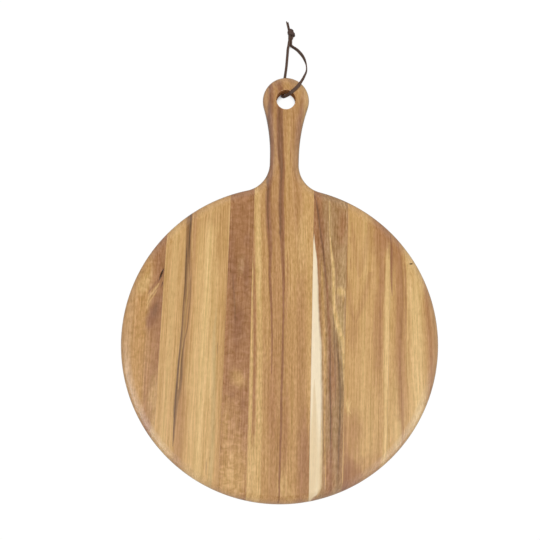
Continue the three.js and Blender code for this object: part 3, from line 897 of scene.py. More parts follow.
RUSSET_STAVE = StaveLook(
    slot="acacia_russet", seed=79.0, wander=1.2, tilt=0.4, curl=0.09, speckle=0.2, pores=0.45,
    bands=[
        (119.3, "gold"), (121.5, "honey"), (123.5, "honey"), (125.8, "tan"), (128, "caramel"),
        (130.5, "russet"), (132.5, "caramel"), (134.5, "caramel"), (137, "tan"), (138.8, "tan"),
        (140.3, "honey"), (143, "gold"), (147, "straw"), (152, "straw"), (157, "gold"),
        (161, "tan"), (165, "russet"), (168.5, "caramel"), (175, "tan"),
    ],
    patches=[
        Patch("russet", 0.85, 123, 108, 9, 44, lean=-0.05),
        Patch("gold", 0.9, 127, -66, 9, 64),
        Patch("straw", 0.8, 132, -98, 8, 40, lean=0.05),
        Patch("straw", 0.3, 143, -86, 8, 40, lean=0.05),
        Patch("straw", 0.7, 154, 75, 9, 34),
        Patch("gold", 0.8, 143, 82, 5, 30),
        Patch("bark", 0.8, 142.2, 94, 3.8, 1.1, soft=0.7),
    ],
    streaks=[
        Streak("walnut", 0.95, 0.6, [
            (117.6, 142, 1.4), (118.7, 123, 3.2), (119.6, 98, 3.4), (120.4, 81, 2.6),
            (121.6, 58, 0.5),
        ]),
        Streak("umber", 0.65, 0.7, [
            (127.5, 122, 2.4), (128.6, 105, 3), (131.2, 76, 3.4), (132.6, 43, 3), (131.9, 5, 2.4),
            (132.2, -22, 2.4), (135.1, -55, 2.4), (136.4, -82, 2.2), (137.5, -102, 0.3),
        ]),
        Streak("walnut", 0.45, 0.7, [
            (134.4, 96, 0.3), (135.4, 76, 1.6), (136.6, 45, 1.5), (136.2, 15, 0.3),
        ]),
        Streak("russet", 0.7, 0.7, [
            (125, 96, 0.3), (126.4, 70, 1.4), (127.6, 36, 1.4), (127.4, 5, 0.3),
        ]),
        Streak("straw", 0.85, 0.6, [
            (136.6, 108, 0.4), (137.6, 93, 1.8), (139, 54, 1.6), (139, 22, 1.2), (139.9, -11, 1.2),
            (141.4, -40, 0.4),
        ]),
    ],
)

STAVES = [
    AMBER_STAVE, GOLDEN_STAVE, UMBER_STAVE, STRIPED_STAVE, SAPWOOD_STAVE, HONEY_STAVE, RUSSET_STAVE,
]
HANDLE_STAVE = STRIPED_STAVE

# Tones of sapwood, which has no pores and hardly any figure
SAPWOOD_TONES = ("cream", "ivory")

# Spans that hold every mark, so that its course fits a curve from 0 to 1
COURSE_LOW = -200.0
COURSE_SPAN = 520.0
WIDEST_STREAK = 40.0
LEAST_SOFTNESS = 0.05
# How far the fibres fray a streak's edges, in millimetres
FRAY_REACH = 1.0


def streak_cover(bench, across, along, fray, streak):
    """How much a streak covers each place: full on its course, none past its width."""
    places = sorted(streak.course, key=lambda point: point[1])
    middles = [((y - COURSE_LOW) / COURSE_SPAN, (x - COURSE_LOW) / COURSE_SPAN) for x, y, _ in places]
    widths = [((y - COURSE_LOW) / COURSE_SPAN, width / WIDEST_STREAK) for _, y, width in places]
    middle = bench.math("MULTIPLY_ADD", bench.curve(along, middles), COURSE_SPAN, COURSE_LOW)
    half = bench.math("MULTIPLY", bench.curve(along, widths), WIDEST_STREAK / 2)
    off = bench.math("ABSOLUTE", bench.math("SUBTRACT", across, middle))
    torn = bench.math("MULTIPLY", fray, bench.math("MINIMUM", half, FRAY_REACH))
    reach = bench.math("MULTIPLY_ADD", half, 1 + streak.soft, torn)
    inside = bench.math("SUBTRACT", reach, off)
    fade = bench.math("MULTIPLY_ADD", half, 2 * streak.soft, LEAST_SOFTNESS)
    cover = bench.math("DIVIDE", inside, fade, clamp=True)
    below_top = bench.math("LESS_THAN", along, middles[-1][0])
    between = bench.math("MULTIPLY", below_top, bench.math("GREATER_THAN", along, middles[0][0]))
    return bench.math("MULTIPLY", bench.math("MULTIPLY", cover, between), streak.strength)


def patch_cover(bench, across, y, ragged, patch):
    """How much a soft patch covers each place."""

    def squared_share(offset, reach):
        return bench.math("POWER", bench.math("ABSOLUTE", bench.math("DIVIDE", offset, reach)), 2.0)

    up = bench.math("SUBTRACT", y, patch.y)
    beside = bench.math("SUBTRACT", across, patch.x)
    aside = bench.math("SUBTRACT", beside, bench.math("MULTIPLY", up, -patch.lean))
    squares = [squared_share(aside, patch.reach_x), squared_share(up, patch.reach_y)]
    away = bench.math("ADD", bench.math("SQRT", bench.math("ADD", *squares)), ragged)
    cover = bench.span(away, 1.0 - patch.soft, 1.0, 1.0, 0.0)
    return bench.math("MULTIPLY", cover, patch.strength)


def line_at(bench, line, y):
    """Where a leaning line stands at a height of the picture."""
    x, lean = line
    return bench.math("MULTIPLY_ADD", y, -math.tan(math.radians(lean)), x)


# The wood's own noises: cells in millimetres across the grain, along it and through the board, the step
# from the stave's seed, and how fine, rough and bent the noise is
WoodNoise = namedtuple("WoodNoise", "grain step detail roughness distortion", defaults=(0.5, 0.0))
DRIFT = WoodNoise((70, 230, 70), 0, 1.0)
RIPPLE = WoodNoise((7, 60, 7), 2, 1.5)
RAGGED = WoodNoise((5, 12, 5), 4, 3.0)
FRAY = WoodNoise((1.1, 24, 1.1), 5, 2.0)
STRIPES = WoodNoise((1.7, 220, 3), 6, 3.0, 0.6)
FIBRES = WoodNoise((0.85, 40, 0.85), 8, 2.0, 0.6)
CURL = WoodNoise((9, 5.5, 9), 10, 3.0, 0.5, 0.8)
PORES = WoodNoise((0.75, 7, 0.75), 12, 1.0)
CROWDS = WoodNoise((6, 60, 6), 14, 1.0)
SPECKLES = WoodNoise((1.6, 6, 1.6), 16, 2.0)
TINT = WoodNoise((2.4, 60, 4), 18, 2.0)

# How far ripples push the grain in millimetres, and how torn a patch's edge is, as a share of its size
RIPPLE_REACH = 0.8
RAGGED_REACH = 0.35
# Colour: how far the hue wanders, how much warmer dark wood is, and how much figure sapwood shows
HUE_REACH = 0.004
NEUTRAL_HUE = 0.5
DARK_WARMTH = 0.3
SAPWOOD_FIGURE = 0.14
# Pores: the noise that makes one, how much lower it is where they crowd or stand close, and their edge
PORE_LIMIT = 0.72
PORE_CROWDING = 0.16
PORE_CLOSENESS = 0.08
PORE_EDGE = 0.12
PORE_SHADE = (0.76, 0.66, 0.53, 1.0)
# Edges, told apart by the way they face. A span runs between its first two values, and goes from 0 to 1
# or between its last two.
END_GRAIN_SPAN = (0.12, 0.6)
SLOPE_SPAN = (0.9, 0.985, 1.0, 0.0)
UPRIGHT_PAINTED_SHADE_SPAN = (0.2, 0.95, 1.0, 0.0)
END_GRAIN_SHADE = (0.95, 0.91, 0.86, 1.0)
# Painted shade: the soft edge's slopes a little darker and the upright edge much darker, as light falls
# on them
SLOPE_PAINTED_SHADE = (0.97, 0.97, 0.98, 1.0)
EDGE_PAINTED_SHADE = (0.56, 0.56, 0.57, 1.0)
# How much of the hole's wall is painted with the paler bore tone, as painted light in its shade
HOLE_PAINTED_LIGHT_COVER = 0.9
# Satin finish: how it reflects on the face and on slopes, its roughness over the fibres and its relief
FACE_SHEEN = 0.24
SLOPE_SHEEN = 0.7
SLOPE_SMOOTHNESS = -0.12
SATIN_SPAN = (0.2, 0.8, 0.38, 0.5)
FIBRE_RELIEF = 0.6
WOOD_BUMP = 0.25
WOOD_BUMP_DEPTH = 0.12 * MM


WoodPlace = namedtuple("WoodPlace", "place x y marked across grain facing")


def wood_noise(bench, place, kind, seed):
    """One of the wood's own noises, from 0 to 1."""
    fineness = (kind.detail, kind.roughness, kind.distortion)
    return bench.noise(place, kind.grain, seed + kind.step, *fineness)


def wood_place(bench, index, look, sizes):
    """Places in one stave: its coordinates in millimetres, and where marks and grain lie across it."""
    left, right = GRAIN_LINES[index], GRAIN_LINES[index + 1]
    coordinates = bench.add("TexCoord", {}).outputs
    scaled = bench.add("VectorMath", {0: coordinates["Object"], 1: (1 / MM,) * 3}, operation="MULTIPLY")
    place = scaled.outputs[0]
    x, y, z = bench.add("SeparateXYZ", {0: place}).outputs
    depth = bench.math("SUBTRACT", sizes.thickness / MM, z)
    drift = bench.sway(wood_noise(bench, place, DRIFT, look.seed), look.wander)
    ripple = bench.sway(wood_noise(bench, place, RIPPLE, look.seed), RIPPLE_REACH)
    marked = bench.math("MULTIPLY_ADD", depth, look.tilt, bench.math("ADD", x, ripple))
    bend = bench.math("MULTIPLY", y, bench.math("MULTIPLY_ADD", y, look.bend[1], look.bend[0]))
    grain_x = bench.math("SUBTRACT", bench.math("ADD", marked, drift), bend)
    left_x = line_at(bench, left, y)
    width = bench.math("SUBTRACT", line_at(bench, right, y), left_x)
    across = bench.math("DIVIDE", bench.math("SUBTRACT", grain_x, left_x), width)
    grain = bench.vector(bench.math("MULTIPLY", across, right[0] - left[0]), y, depth)
    return WoodPlace(place, x, y, marked, across, grain, coordinates["Normal"])


def wood_marks(bench, index, look, tones, at):
    """Bands, patches and streaks of one stave: the colour, and how much of it is not sapwood."""

    def tone(name):
        return opaque(getattr(tones, name))

    left, right = GRAIN_LINES[index], GRAIN_LINES[index + 1]
    stops = [((x - left[0]) / (right[0] - left[0]), tone(name)) for x, name in look.bands]
    shade = bench.ramp(at.across, stops)
    ragged = bench.sway(wood_noise(bench, at.place, RAGGED, look.seed), RAGGED_REACH)
    fray = bench.sway(wood_noise(bench, at.grain, FRAY, look.seed), 1.0)
    along = bench.span(at.y, COURSE_LOW, COURSE_LOW + COURSE_SPAN, kind="LINEAR")
    heartwood = 1.0
    for patch in look.patches:
        shade = bench.mix(patch_cover(bench, at.marked, at.y, ragged, patch), shade, tone(patch.tone))
    for streak in look.streaks:
        cover = streak_cover(bench, at.marked, along, fray, streak)
        shade = bench.mix(cover, shade, tone(streak.tone))
        if streak.tone in SAPWOOD_TONES:
            heartwood = bench.math("MULTIPLY", heartwood, bench.math("SUBTRACT", 1.0, cover))
    return shade, heartwood


def in_hole(bench, at, sizes):
    """One on the wall of the hanging hole, none on the faces."""
    spot = bench.vector(at.x, at.y, 0.0)
    axis = (0.0, board_shape(sizes).end_y / MM, 0.0)
    away = bench.add("VectorMath", {0: spot, 1: axis}, operation="DISTANCE").outputs["Value"]
    radius = sizes.hole_diameter / 2 / MM
    return bench.span(away, radius, radius + sizes.hole_rim / MM, 1.0, 0.0)


def wood_light(bench, look, tones, at, fibres, heartwood):
    """How light the wood is at each place: growth lines, fibres, curl and speckles."""
    change = bench.sway(wood_noise(bench, at.grain, STRIPES, look.seed), tones.stripe_depth)
    shifts = [
        (fibres, tones.fibre_depth),
        (wood_noise(bench, at.place, CURL, look.seed), look.curl),
        (wood_noise(bench, at.grain, SPECKLES, look.seed), look.speckle),
    ]
    for figure, depth in shifts:
        change = bench.math("ADD", change, bench.sway(figure, depth))
    quiet = bench.span(heartwood, 0.0, 1.0, SAPWOOD_FIGURE, 1.0, kind="LINEAR")
    return bench.math("MULTIPLY_ADD", change, quiet, 1.0)


def wood_tint(bench, look, at, shade, light):
    """The colour in its light. Dark wood is warmer, and the hue wanders a little."""
    tint = wood_noise(bench, at.grain, TINT, look.seed)
    inputs = {
        "Hue": bench.math("ADD", bench.sway(tint, HUE_REACH), NEUTRAL_HUE),
        "Saturation": bench.math("MULTIPLY_ADD", light, -DARK_WARMTH, 1 + DARK_WARMTH),
        "Value": light,
        "Color": shade,
    }
    return bench.add("HueSaturation", inputs).outputs[0]


def wood_pores(bench, look, at, heartwood):
    """Short dashes along the grain: one in a pore, none between them."""
    dashes = wood_noise(bench, at.grain, PORES, look.seed)
    crowd = wood_noise(bench, at.grain, CROWDS, look.seed)
    limit = PORE_LIMIT - PORE_CLOSENESS * look.pores
    sparse = bench.math("MULTIPLY_ADD", crowd, -PORE_CROWDING, limit)
    pores = bench.span(dashes, sparse, bench.math("ADD", sparse, PORE_EDGE))
    return bench.math("MULTIPLY", pores, heartwood)


def wood_edges(bench, at, shade):
    """End grain deeper and redder, painted shade on slopes and upright edge: the colour, and the slopes.
    """
    _, endward, upward = bench.add("SeparateXYZ", {0: at.facing}).outputs
    end_grain = bench.span(bench.math("ABSOLUTE", endward), *END_GRAIN_SPAN)
    slope = bench.span(upward, *SLOPE_SPAN)
    upright = bench.span(upward, *UPRIGHT_PAINTED_SHADE_SPAN)
    for cover, tone in ((end_grain, END_GRAIN_SHADE), (slope, SLOPE_PAINTED_SHADE), (upright, EDGE_PAINTED_SHADE)):
        shade = bench.mix(cover, shade, tone, blend="MULTIPLY")
    return shade, slope


def wood_material(index, sizes, tones):
    """Acacia of one stave: bands, marks, growth lines, fibres, pores and figure, all from its place."""
    look = STAVES[index]
    material, bench, shader = new_material(look.slot + "_wood")
    at = wood_place(bench, index, look, sizes)
    shade, heartwood = wood_marks(bench, index, look, tones, at)
    fibres = wood_noise(bench, at.grain, FIBRES, look.seed)
    light = wood_light(bench, look, tones, at, fibres, heartwood)
    shade = wood_tint(bench, look, at, shade, light)
    pores = wood_pores(bench, look, at, heartwood)
    deep = bench.math("MULTIPLY", pores, tones.pore_depth)
    shade = bench.mix(deep, shade, PORE_SHADE, blend="MULTIPLY")
    # Painted shade on the slopes and on the upright edge
    shade, slope = wood_edges(bench, at, shade)
    sheen = bench.math("MULTIPLY_ADD", slope, SLOPE_SHEEN - FACE_SHEEN, FACE_SHEEN)
    if look is HANDLE_STAVE:
        # Painted light: the hole's wall is mixed toward the paler bore tone, and it shows no sheen
        hole = in_hole(bench, at, sizes)
        shade = bench.mix(bench.math("MULTIPLY", hole, HOLE_PAINTED_LIGHT_COVER), shade, opaque(tones.bore_painted_light))
        sheen = bench.math("MULTIPLY", sheen, bench.math("SUBTRACT", 1.0, hole))
    satin = bench.span(fibres, *SATIN_SPAN, kind="LINEAR")
    relief = bench.math("MULTIPLY_ADD", pores, -1.0, bench.math("MULTIPLY", fibres, FIBRE_RELIEF))
    finish = {
        "Base Color": shade,
        "Roughness": bench.math("MULTIPLY_ADD", slope, SLOPE_SMOOTHNESS, satin),
        "Specular IOR Level": sheen,
        "Normal": bench.bump(relief, WOOD_BUMP, WOOD_BUMP_DEPTH),
    }
    for socket, value in finish.items():
        bench.join(shader.inputs[socket], value)
    return material


# Dried glue: cells of its unevenness in metres, its seed, where it is dark and pale, and its roughness
GLUE_GRAIN = (0.002, 0.009, 0.002)
GLUE_SEED = 5.0
GLUE_DARK = 0.3
GLUE_PALE = 0.75
GLUE_ROUGH_SPAN = (0.2, 0.8, 0.35, 0.55)


def glue_material(tones):
    """Dried wood glue: a thin, slightly uneven brown line."""
    material, bench, shader = new_material("wood_glue_film")
    place = bench.add("TexCoord", {}).outputs["Object"]
    uneven = bench.noise(place, GLUE_GRAIN, GLUE_SEED, detail=3.0)
    stops = [(GLUE_DARK, opaque(tones.glue)), (GLUE_PALE, opaque(tones.caramel))]
    bench.join(shader.inputs["Base Color"], bench.ramp(uneven, stops))
    rough = bench.span(uneven, *GLUE_ROUGH_SPAN, kind="LINEAR")
    bench.join(shader.inputs["Roughness"], rough)
    return material


# Lace routes from the hole's axis in millimetres: x, y, height and the way that the width points.
# Height runs from 0 on the table to 1 on the serving face.
HOLE_MIDDLE = (-1.9, 5.7, 0.45, (0.75, -0.6, -0.35))
FRONT_ROUTE = [
    HOLE_MIDDLE,
    (0.6, 6.1, 0.6, (0.5, -0.85, -0.15)),
    (3, 6.8, 0.78, (0.4, -0.9, 0)),
    (5, 7.7, 0.94, (0.55, -0.83, 0)),
    (6.9, 9.1, 1, (0.64, -0.77, 0)),
    (9.9, 11.9, 1, (0.74, -0.67, 0)),
    (11.9, 14.2, 0.965, (0.8, -0.6, 0)),
    (13.8, 16.8, 0.9, (0.82, -0.52, 0.2)),
    (16.2, 20.7, 0.79, (0.71, -0.36, 0.6)),
    (18.2, 24.7, 0.66, (0.62, -0.3, 0.72)),
    (19.8, 28.8, 0.52, (0.55, -0.22, 0.8)),
    (21.2, 32.5, 0.4, (0.42, -0.12, 0.9)),
    (22, 36.5, 0.28, (0.2, -0.03, 0.98)),
    (22.1, 40.5, 0.19, (0, 0, 1)),
    (21.5, 44.6, 0.12, (0.12, 0.03, 0.99)),
    (19.7, 49.8, 0.06, (0.38, 0.18, 0.91)),
    (17.2, 54.3, 0.02, (0.5, 0.32, 0.8)),
    (14.2, 57.9, 0, (0.5, 0.42, 0.76)),
    (10.5, 61.2, 0, (0.32, 0.45, 0.83)),
    (6.7, 63.5, 0, (0.3, 0.3, 0.9)),
    (4.3, 65.6, 0, (0.6, 0.12, 0.79)),
    (4.1, 68.3, 0, (0.62, 0, 0.78)),
    (4, 71.4, 0, (0.55, 0, 0.84)),
]
BACK_ROUTE = [
    HOLE_MIDDLE,
    (-3.9, 5.7, 0.28, (0.85, -0.35, -0.4)),
    (-3.6, 8.2, 0.04, (1, 0.1, -0.1)),
    (-3.4, 11.2, 0, (1, 0.1, 0)),
    (-3.2, 15, 0, (1, -0.1, 0)),
    (-2.9, 19.6, 0, (1, -0.1, 0)),
    (-2.2, 24.9, 0, (0.95, -0.1, 0.3)),
    (-1.65, 29.7, 0, (0.76, -0.08, 0.64)),
    (-1.05, 34.6, 0, (0.72, -0.05, 0.69)),
    (-0.3, 41.3, 0, (0.7, 0, 0.71)),
    (0.2, 49.1, 0, (0.7, 0, 0.71)),
    (0.6, 55.9, 0, (0.7, 0, 0.71)),
    (0.9, 62, 0, (0.68, 0, 0.73)),
    (1.6, 66, 0, (0.64, 0, 0.77)),
    (1.9, 69.3, 0, (0.62, 0, 0.78)),
    (2.2, 71.4, 0, (0.55, 0, 0.84)),
]
TABLE_CLEARANCE = 0.25
LACE_CLEARANCE = 0.3
STEPS_PER_POINT = 8
SECTION_POINTS = 24
SECTION_SQUARENESS = 4.5
THONG_SHARP_ANGLE = math.radians(64)
# A curve's stations stand apart by this power of the stretches between its points
STATION_POWER = 0.5
LEAST_STRETCH = 1e-9

# Knot, in millimetres from the point where both runs end, with +Y along the knot
KNOT_LEAN = math.radians(8.7)
KNOT_MIDDLE_HEIGHT = 3.95
WRAP_STEPS = 96


def lace_centre(point, sizes):
    """Where the lace's middle lies at a point of a route, as its section stands there."""
    x, y, height, across = point
    upright = abs(across[2]) / Vector(across).length
    lying = math.sqrt(1 - upright**2)
    half_height = (upright * sizes.width + lying * sizes.thickness) / 2
    top = bpy.context.scene.board_sizes.thickness / MM + LACE_CLEARANCE
    under = TABLE_CLEARANCE + (top - TABLE_CLEARANCE) * height
    return Vector((x * MM, y * MM, under * MM + half_height))


def smooth_line(points, steps):
    """A centripetal curve through points, with steps between each two of them."""
    ends = [2 * points[0] - points[1], *points, 2 * points[-1] - points[-2]]
    line = []
    for before, start, end, after in zip(ends, ends[1:], ends[2:], ends[3:]):
        stations = [0.0]
        for a, b in ((before, start), (start, end), (end, after)):
            stations.append(stations[-1] + max((b - a).length, LEAST_STRETCH) ** STATION_POWER)
        for step in range(steps):
            line.append(centripetal(before, start, end, after, stations, step / steps))
    return [*line, points[-1]]


def centripetal(before, start, end, after, stations, share_along):
    """One point of the curve between start and end."""
    s0, s1, s2, s3 = stations
    at = s1 + (s2 - s1) * share_along

    def blend(a, b, low, high):
        return a * ((high - at) / (high - low)) + b * ((at - low) / (high - low))

    first = blend(before, start, s0, s1)
    second = blend(start, end, s1, s2)
    third = blend(end, after, s2, s3)
    early = blend(first, second, s0, s2)
    late = blend(second, third, s1, s3)
    return blend(early, late, s1, s2)


def tangents(centres):
    """The way that a line runs at each of its points."""
    last = len(centres) - 1
    neighbours = [(centres[max(i - 1, 0)], centres[min(i + 1, last)]) for i in range(last + 1)]
    return [(after - before).normalized() for before, after in neighbours]


def thong_section(sizes):
    """Flat section with soft corners: across its width, through its thickness."""

    def squared(value):
        return math.copysign(abs(value) ** (2 / SECTION_SQUARENESS), value)

    turns = [2 * math.pi * i / SECTION_POINTS for i in range(SECTION_POINTS)]
    half_width, half_thickness = sizes.width / 2, sizes.thickness / 2
    return [(squared(math.cos(t)) * half_width, squared(math.sin(t)) * half_thickness) for t in turns]


def thong_mesh(centres, widths, sizes):
    """A flat thong along its middle line. Each width is the way that its width points there."""
    bm = bmesh.new()
    uv = bm.loops.layers.uv.new("Thong")
    section = thong_section(sizes)
    rings = []
    for centre, tangent, width in zip(centres, tangents(centres), widths):
        through = tangent.cross(width).normalized()
        across = through.cross(tangent).normalized()
        rings.append([centre + across * x + through * y for x, y in section])
    run = [0.0]
    for start, end in zip(centres, centres[1:]):
        run.append(run[-1] + (end - start).length)
    loops = skin(bm, rings)
    for number, face in enumerate(bm.faces):
        ring, point = divmod(number, SECTION_POINTS)
        corners = [(point, ring), (point + 1, ring), (point + 1, ring + 1), (point, ring + 1)]
        for loop, (around, along) in zip(face.loops, corners):
            loop[uv].uv = (around / SECTION_POINTS, run[along] / MM)
    bm.faces.new(loops[0])
    bm.faces.new(loops[-1])
    return bm


def thong_object(name, bm):
    """A smooth-shaded object of thong."""
    mesh = finished_mesh(bm, name)
    mesh.shade_smooth()
    mesh.set_sharp_from_angle(angle=THONG_SHARP_ANGLE)
    return place_object(name, mesh)


def lace_run(name, route, sizes):
    """One run of the lace along its route: the object and its middle line."""
    centres = smooth_line([lace_centre(point, sizes) for point in route], STEPS_PER_POINT)
    widths = smooth_line([Vector(point[3]) for point in route], STEPS_PER_POINT)
    centres = [centre + HOLE_FOOT for centre in centres]
    return thong_object(name, thong_mesh(centres, widths, sizes)), centres


# Leather's sides, told apart round the section, and where its cut edges are worn
CUT_EDGE_SPAN = (0.15, 0.6, 1.0, 0.0)
FLESH_SPAN = (-0.1, 0.1)
WEAR_SPAN = (0.35, 0.7, 0.25, 0.9)
# Creases and clouds: cells in metres, seed and how much they vary the colour
CREASE_GRAIN = (0.0009,) * 3
CREASE_SEED = 3.0
CREASE_DEPTH = 0.35
CLOUD_GRAIN = (0.006,) * 3
CLOUD_SEED = 8.0
CLOUD_DEPTH = 0.3
# Finish: roughness over the creases, how much rougher the flesh side is, sheen and relief
LEATHER_ROUGH_SPAN = (0.2, 0.8, 0.55, 0.75)
FLESH_ROUGHNESS = 0.15
LEATHER_SHEEN = 0.14
LEATHER_BUMP = 0.5
LEATHER_BUMP_DEPTH = 0.12 * MM


def leather_material(sizes):
    """Dyed leather: smooth grain side, rough flesh side and raw cut edges."""
    material, bench, shader = new_material("lace_leather")
    place = bench.add("TexCoord", {}).outputs["Object"]
    round_uv = bench.add("UVMap", {}, uv_map="Thong").outputs[0]
    around = bench.add("SeparateXYZ", {0: round_uv}).outputs[0]
    side = bench.math("SINE", bench.math("MULTIPLY", around, 2 * math.pi))
    edge = bench.span(bench.math("ABSOLUTE", side), *CUT_EDGE_SPAN)
    flesh = bench.span(side, *FLESH_SPAN)
    creases = bench.noise(place, CREASE_GRAIN, CREASE_SEED, detail=4.0, roughness=0.65)
    clouds = bench.noise(place, CLOUD_GRAIN, CLOUD_SEED, detail=2.0)
    worn = bench.math("MULTIPLY", edge, bench.span(clouds, *WEAR_SPAN))
    base = bench.mix(flesh, opaque(sizes.grain_side), opaque(sizes.flesh_side))
    base = bench.mix(worn, base, opaque(sizes.cut_edge))
    change = bench.math("ADD", bench.sway(creases, CREASE_DEPTH), bench.sway(clouds, CLOUD_DEPTH))
    light = bench.math("ADD", change, 1.0)
    base = bench.add("HueSaturation", {"Value": light, "Color": base}).outputs[0]
    creased = bench.span(creases, *LEATHER_ROUGH_SPAN, kind="LINEAR")
    rough = bench.math("MULTIPLY_ADD", flesh, FLESH_ROUGHNESS, creased)
    bench.join(shader.inputs["Base Color"], base)
    bench.join(shader.inputs["Roughness"], rough)
    bench.join(shader.inputs["Normal"], bench.bump(creases, LEATHER_BUMP, LEATHER_BUMP_DEPTH))
    shader.inputs["Specular IOR Level"].default_value = LEATHER_SHEEN
    return material


def dress(piece, material, body, slot, *nodes):
    """Gives a piece its material, puts it on its body and hides the model parts that it stands for."""
    piece.data.materials.clear()
    piece.data.materials.append(material)
    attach(piece, body)
    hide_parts(*nodes)


def carved_board(sizes):
    """The whole board with its hole drilled and its open flaws cut, before it is sawn."""
    cutters = [hole_cutter(sizes), *[flaw_cutter(sizes, flaw) for flaw in FLAWS]]
    carved = carve(board_blank(sizes), cutters)
    if not carved.polygons:
        raise RuntimeError("the board came out empty")
    return carved


class SERVINGBOARD_OT_staves(bpy.types.Operator):
    """Saw the board into its seven acacia staves"""

    bl_idname = "serving_board.make_staves"
    bl_label = "Make Staves"

    def execute(self, context):
        sizes = context.scene.board_sizes
        carved = carved_board(sizes)
        gap = sizes.glue_film / 2 + JOINT_CLEARANCE
        for i, look in enumerate(STAVES):
            left = (JOINTS[i - 1], gap) if i else None
            right = (JOINTS[i], -gap) if i < len(JOINTS) else None
            stave = sawn_piece(carved, f"acacia_stave_{i + 1}", left, right)
            wood = wood_material(i, sizes, context.scene.wood_tones)
            dress(stave, wood, "board", look.slot, f"stave_{i + 1}")
        bpy.data.meshes.remove(carved)
        return {"FINISHED"}


class SERVINGBOARD_OT_glue(bpy.types.Operator):
    """Fill the joints between the staves with thin films of glue"""

    bl_idname = "serving_board.make_glue"
    bl_label = "Make Glue Films"

    def execute(self, context):
        sizes = context.scene.board_sizes
        carved = carved_board(sizes)
        half_film = sizes.glue_film / 2
        glue = glue_material(context.scene.wood_tones)
        for i, joint in enumerate(JOINTS):
            film = sawn_piece(carved, f"glue_film_{i + 1}", (joint, -half_film), (joint, half_film))
            dress(film, glue, "board", "wood_glue", f"glue_line_{i + 1}")
        bpy.data.meshes.remove(carved)
        return {"FINISHED"}


def knot_place(x, y, z):
    """A point of the knot, in millimetres along it, as a place in the scene."""
    start_x = (FRONT_ROUTE[-1][0] + BACK_ROUTE[-1][0]) / 2
    start_y = FRONT_ROUTE[-1][1] + LACE_CLEARANCE
    turned = knot_direction(x, y, z)
    return HOLE_FOOT + (turned + Vector((start_x, start_y, 0))) * MM


def knot_direction(x, y, z):
    """A direction in the knot as a direction in the scene."""
    return Matrix.Rotation(KNOT_LEAN, 3, "Z") @ Vector((x, y, z))


# Turns of the knot: start and end in degrees, start and end along it, place aside, slant, and reach to
# the side and up
Wrap = namedtuple("Wrap", "start end from_y to_y aside slant reach_x reach_z")
KNOT_WRAPS = [
    Wrap(-200, 160, 9.0, 8.2, 1.75, 0.3, 2.55, 2.4),
    Wrap(-150, 215, 6.2, 4.8, 1.95, 0.3, 3.5, 2.6),
]
# Strands through the knot: x, y, height from the knot's middle, and how far the width leans over
KNOT_CORE = [
    [
        (0.9, -0.3, -1.85, 0.55), (2.0, 1.6, -0.9, 0.85), (2.7, 3.8, 0.2, 0.8), (0.9, 6.8, 0.5, 0.5),
        (-0.5, 10.0, -0.4, 0.2), (-0.66, 11.4, -1.2, 0.0),
    ],
    [
        (-0.9, -0.3, -1.85, 0.55), (-0.3, 2.2, -0.7, 0.7), (0.0, 5.0, 0.4, 0.7), (-0.2, 8.4, -0.4, 0.4),
        (0.5, 10.2, -0.9, 0.2), (0.66, 11.4, -1.2, 0.0),
    ],
]
# A turn's ends are tucked in to this share of its reach, over one part in six of the turn
WRAP_TUCK = 0.35
WRAP_TUCK_PARTS = 6

# Cut ends on edge past the knot: x, y and height above the table
LONG_END = [(-0.66, 11.6, 0.97), (-0.95, 15.8, 0.61), (-1.4, 20.2, 0.25)]
SHORT_END = [(0.66, 11.6, 0.97), (0.4, 15.4, 0.61), (0.02, 19.2, 0.25)]


def knot_wrap(wrap, sizes):
    """One turn of the thong drawn tight round the knot, its ends tucked in."""
    centres = []
    outward = []
    for i in range(WRAP_STEPS + 1):
        along = i / WRAP_STEPS
        turn = math.radians(wrap.start + (wrap.end - wrap.start) * along)
        loose = min(1.0, WRAP_TUCK_PARTS * min(along, 1 - along))
        tight = WRAP_TUCK + (1 - WRAP_TUCK) * eased(loose)
        x = wrap.reach_x * tight * math.sin(turn)
        z = wrap.reach_z * tight * math.cos(turn)
        y = wrap.from_y + (wrap.to_y - wrap.from_y) * along - wrap.slant * x
        centres.append(knot_place(wrap.aside + x, y, KNOT_MIDDLE_HEIGHT + z))
        outward.append(knot_direction(math.sin(turn), 0, math.cos(turn)))
    widths = [out.cross(tangent) for out, tangent in zip(outward, tangents(centres))]
    return thong_mesh(centres, widths, sizes)


def leaning_thong(points, leans, sizes):
    """A thong along points. Its width stands upright and leans over to the side by each lean."""
    widths = [knot_direction(lean, 0, math.sqrt(1 - lean**2)) for lean in leans]
    centres = smooth_line(points, STEPS_PER_POINT)
    return thong_mesh(centres, smooth_line(widths, STEPS_PER_POINT), sizes)


class SERVINGBOARD_OT_knot(bpy.types.Operator):
    """Tie the overhand knot that closes the lace"""

    bl_idname = "serving_board.make_knot"
    bl_label = "Make Knot"

    def execute(self, context):
        sizes = context.scene.lace_sizes
        parts = [knot_wrap(wrap, sizes) for wrap in KNOT_WRAPS]
        for core in KNOT_CORE:
            points = [knot_place(x, y, KNOT_MIDDLE_HEIGHT + z) for x, y, z, _ in core]
            parts.append(leaning_thong(points, [point[3] for point in core], sizes))
        whole = bmesh.new()
        for part in parts:
            passing = bpy.data.meshes.new("knot_part")
            part.to_mesh(passing)
            part.free()
            whole.from_mesh(passing)
            bpy.data.meshes.remove(passing)
        knot = thong_object("lace_overhand_knot", whole)
        dress(knot, leather_material(sizes), "lace", "leather_lace", "lace_knot")
        return {"FINISHED"}


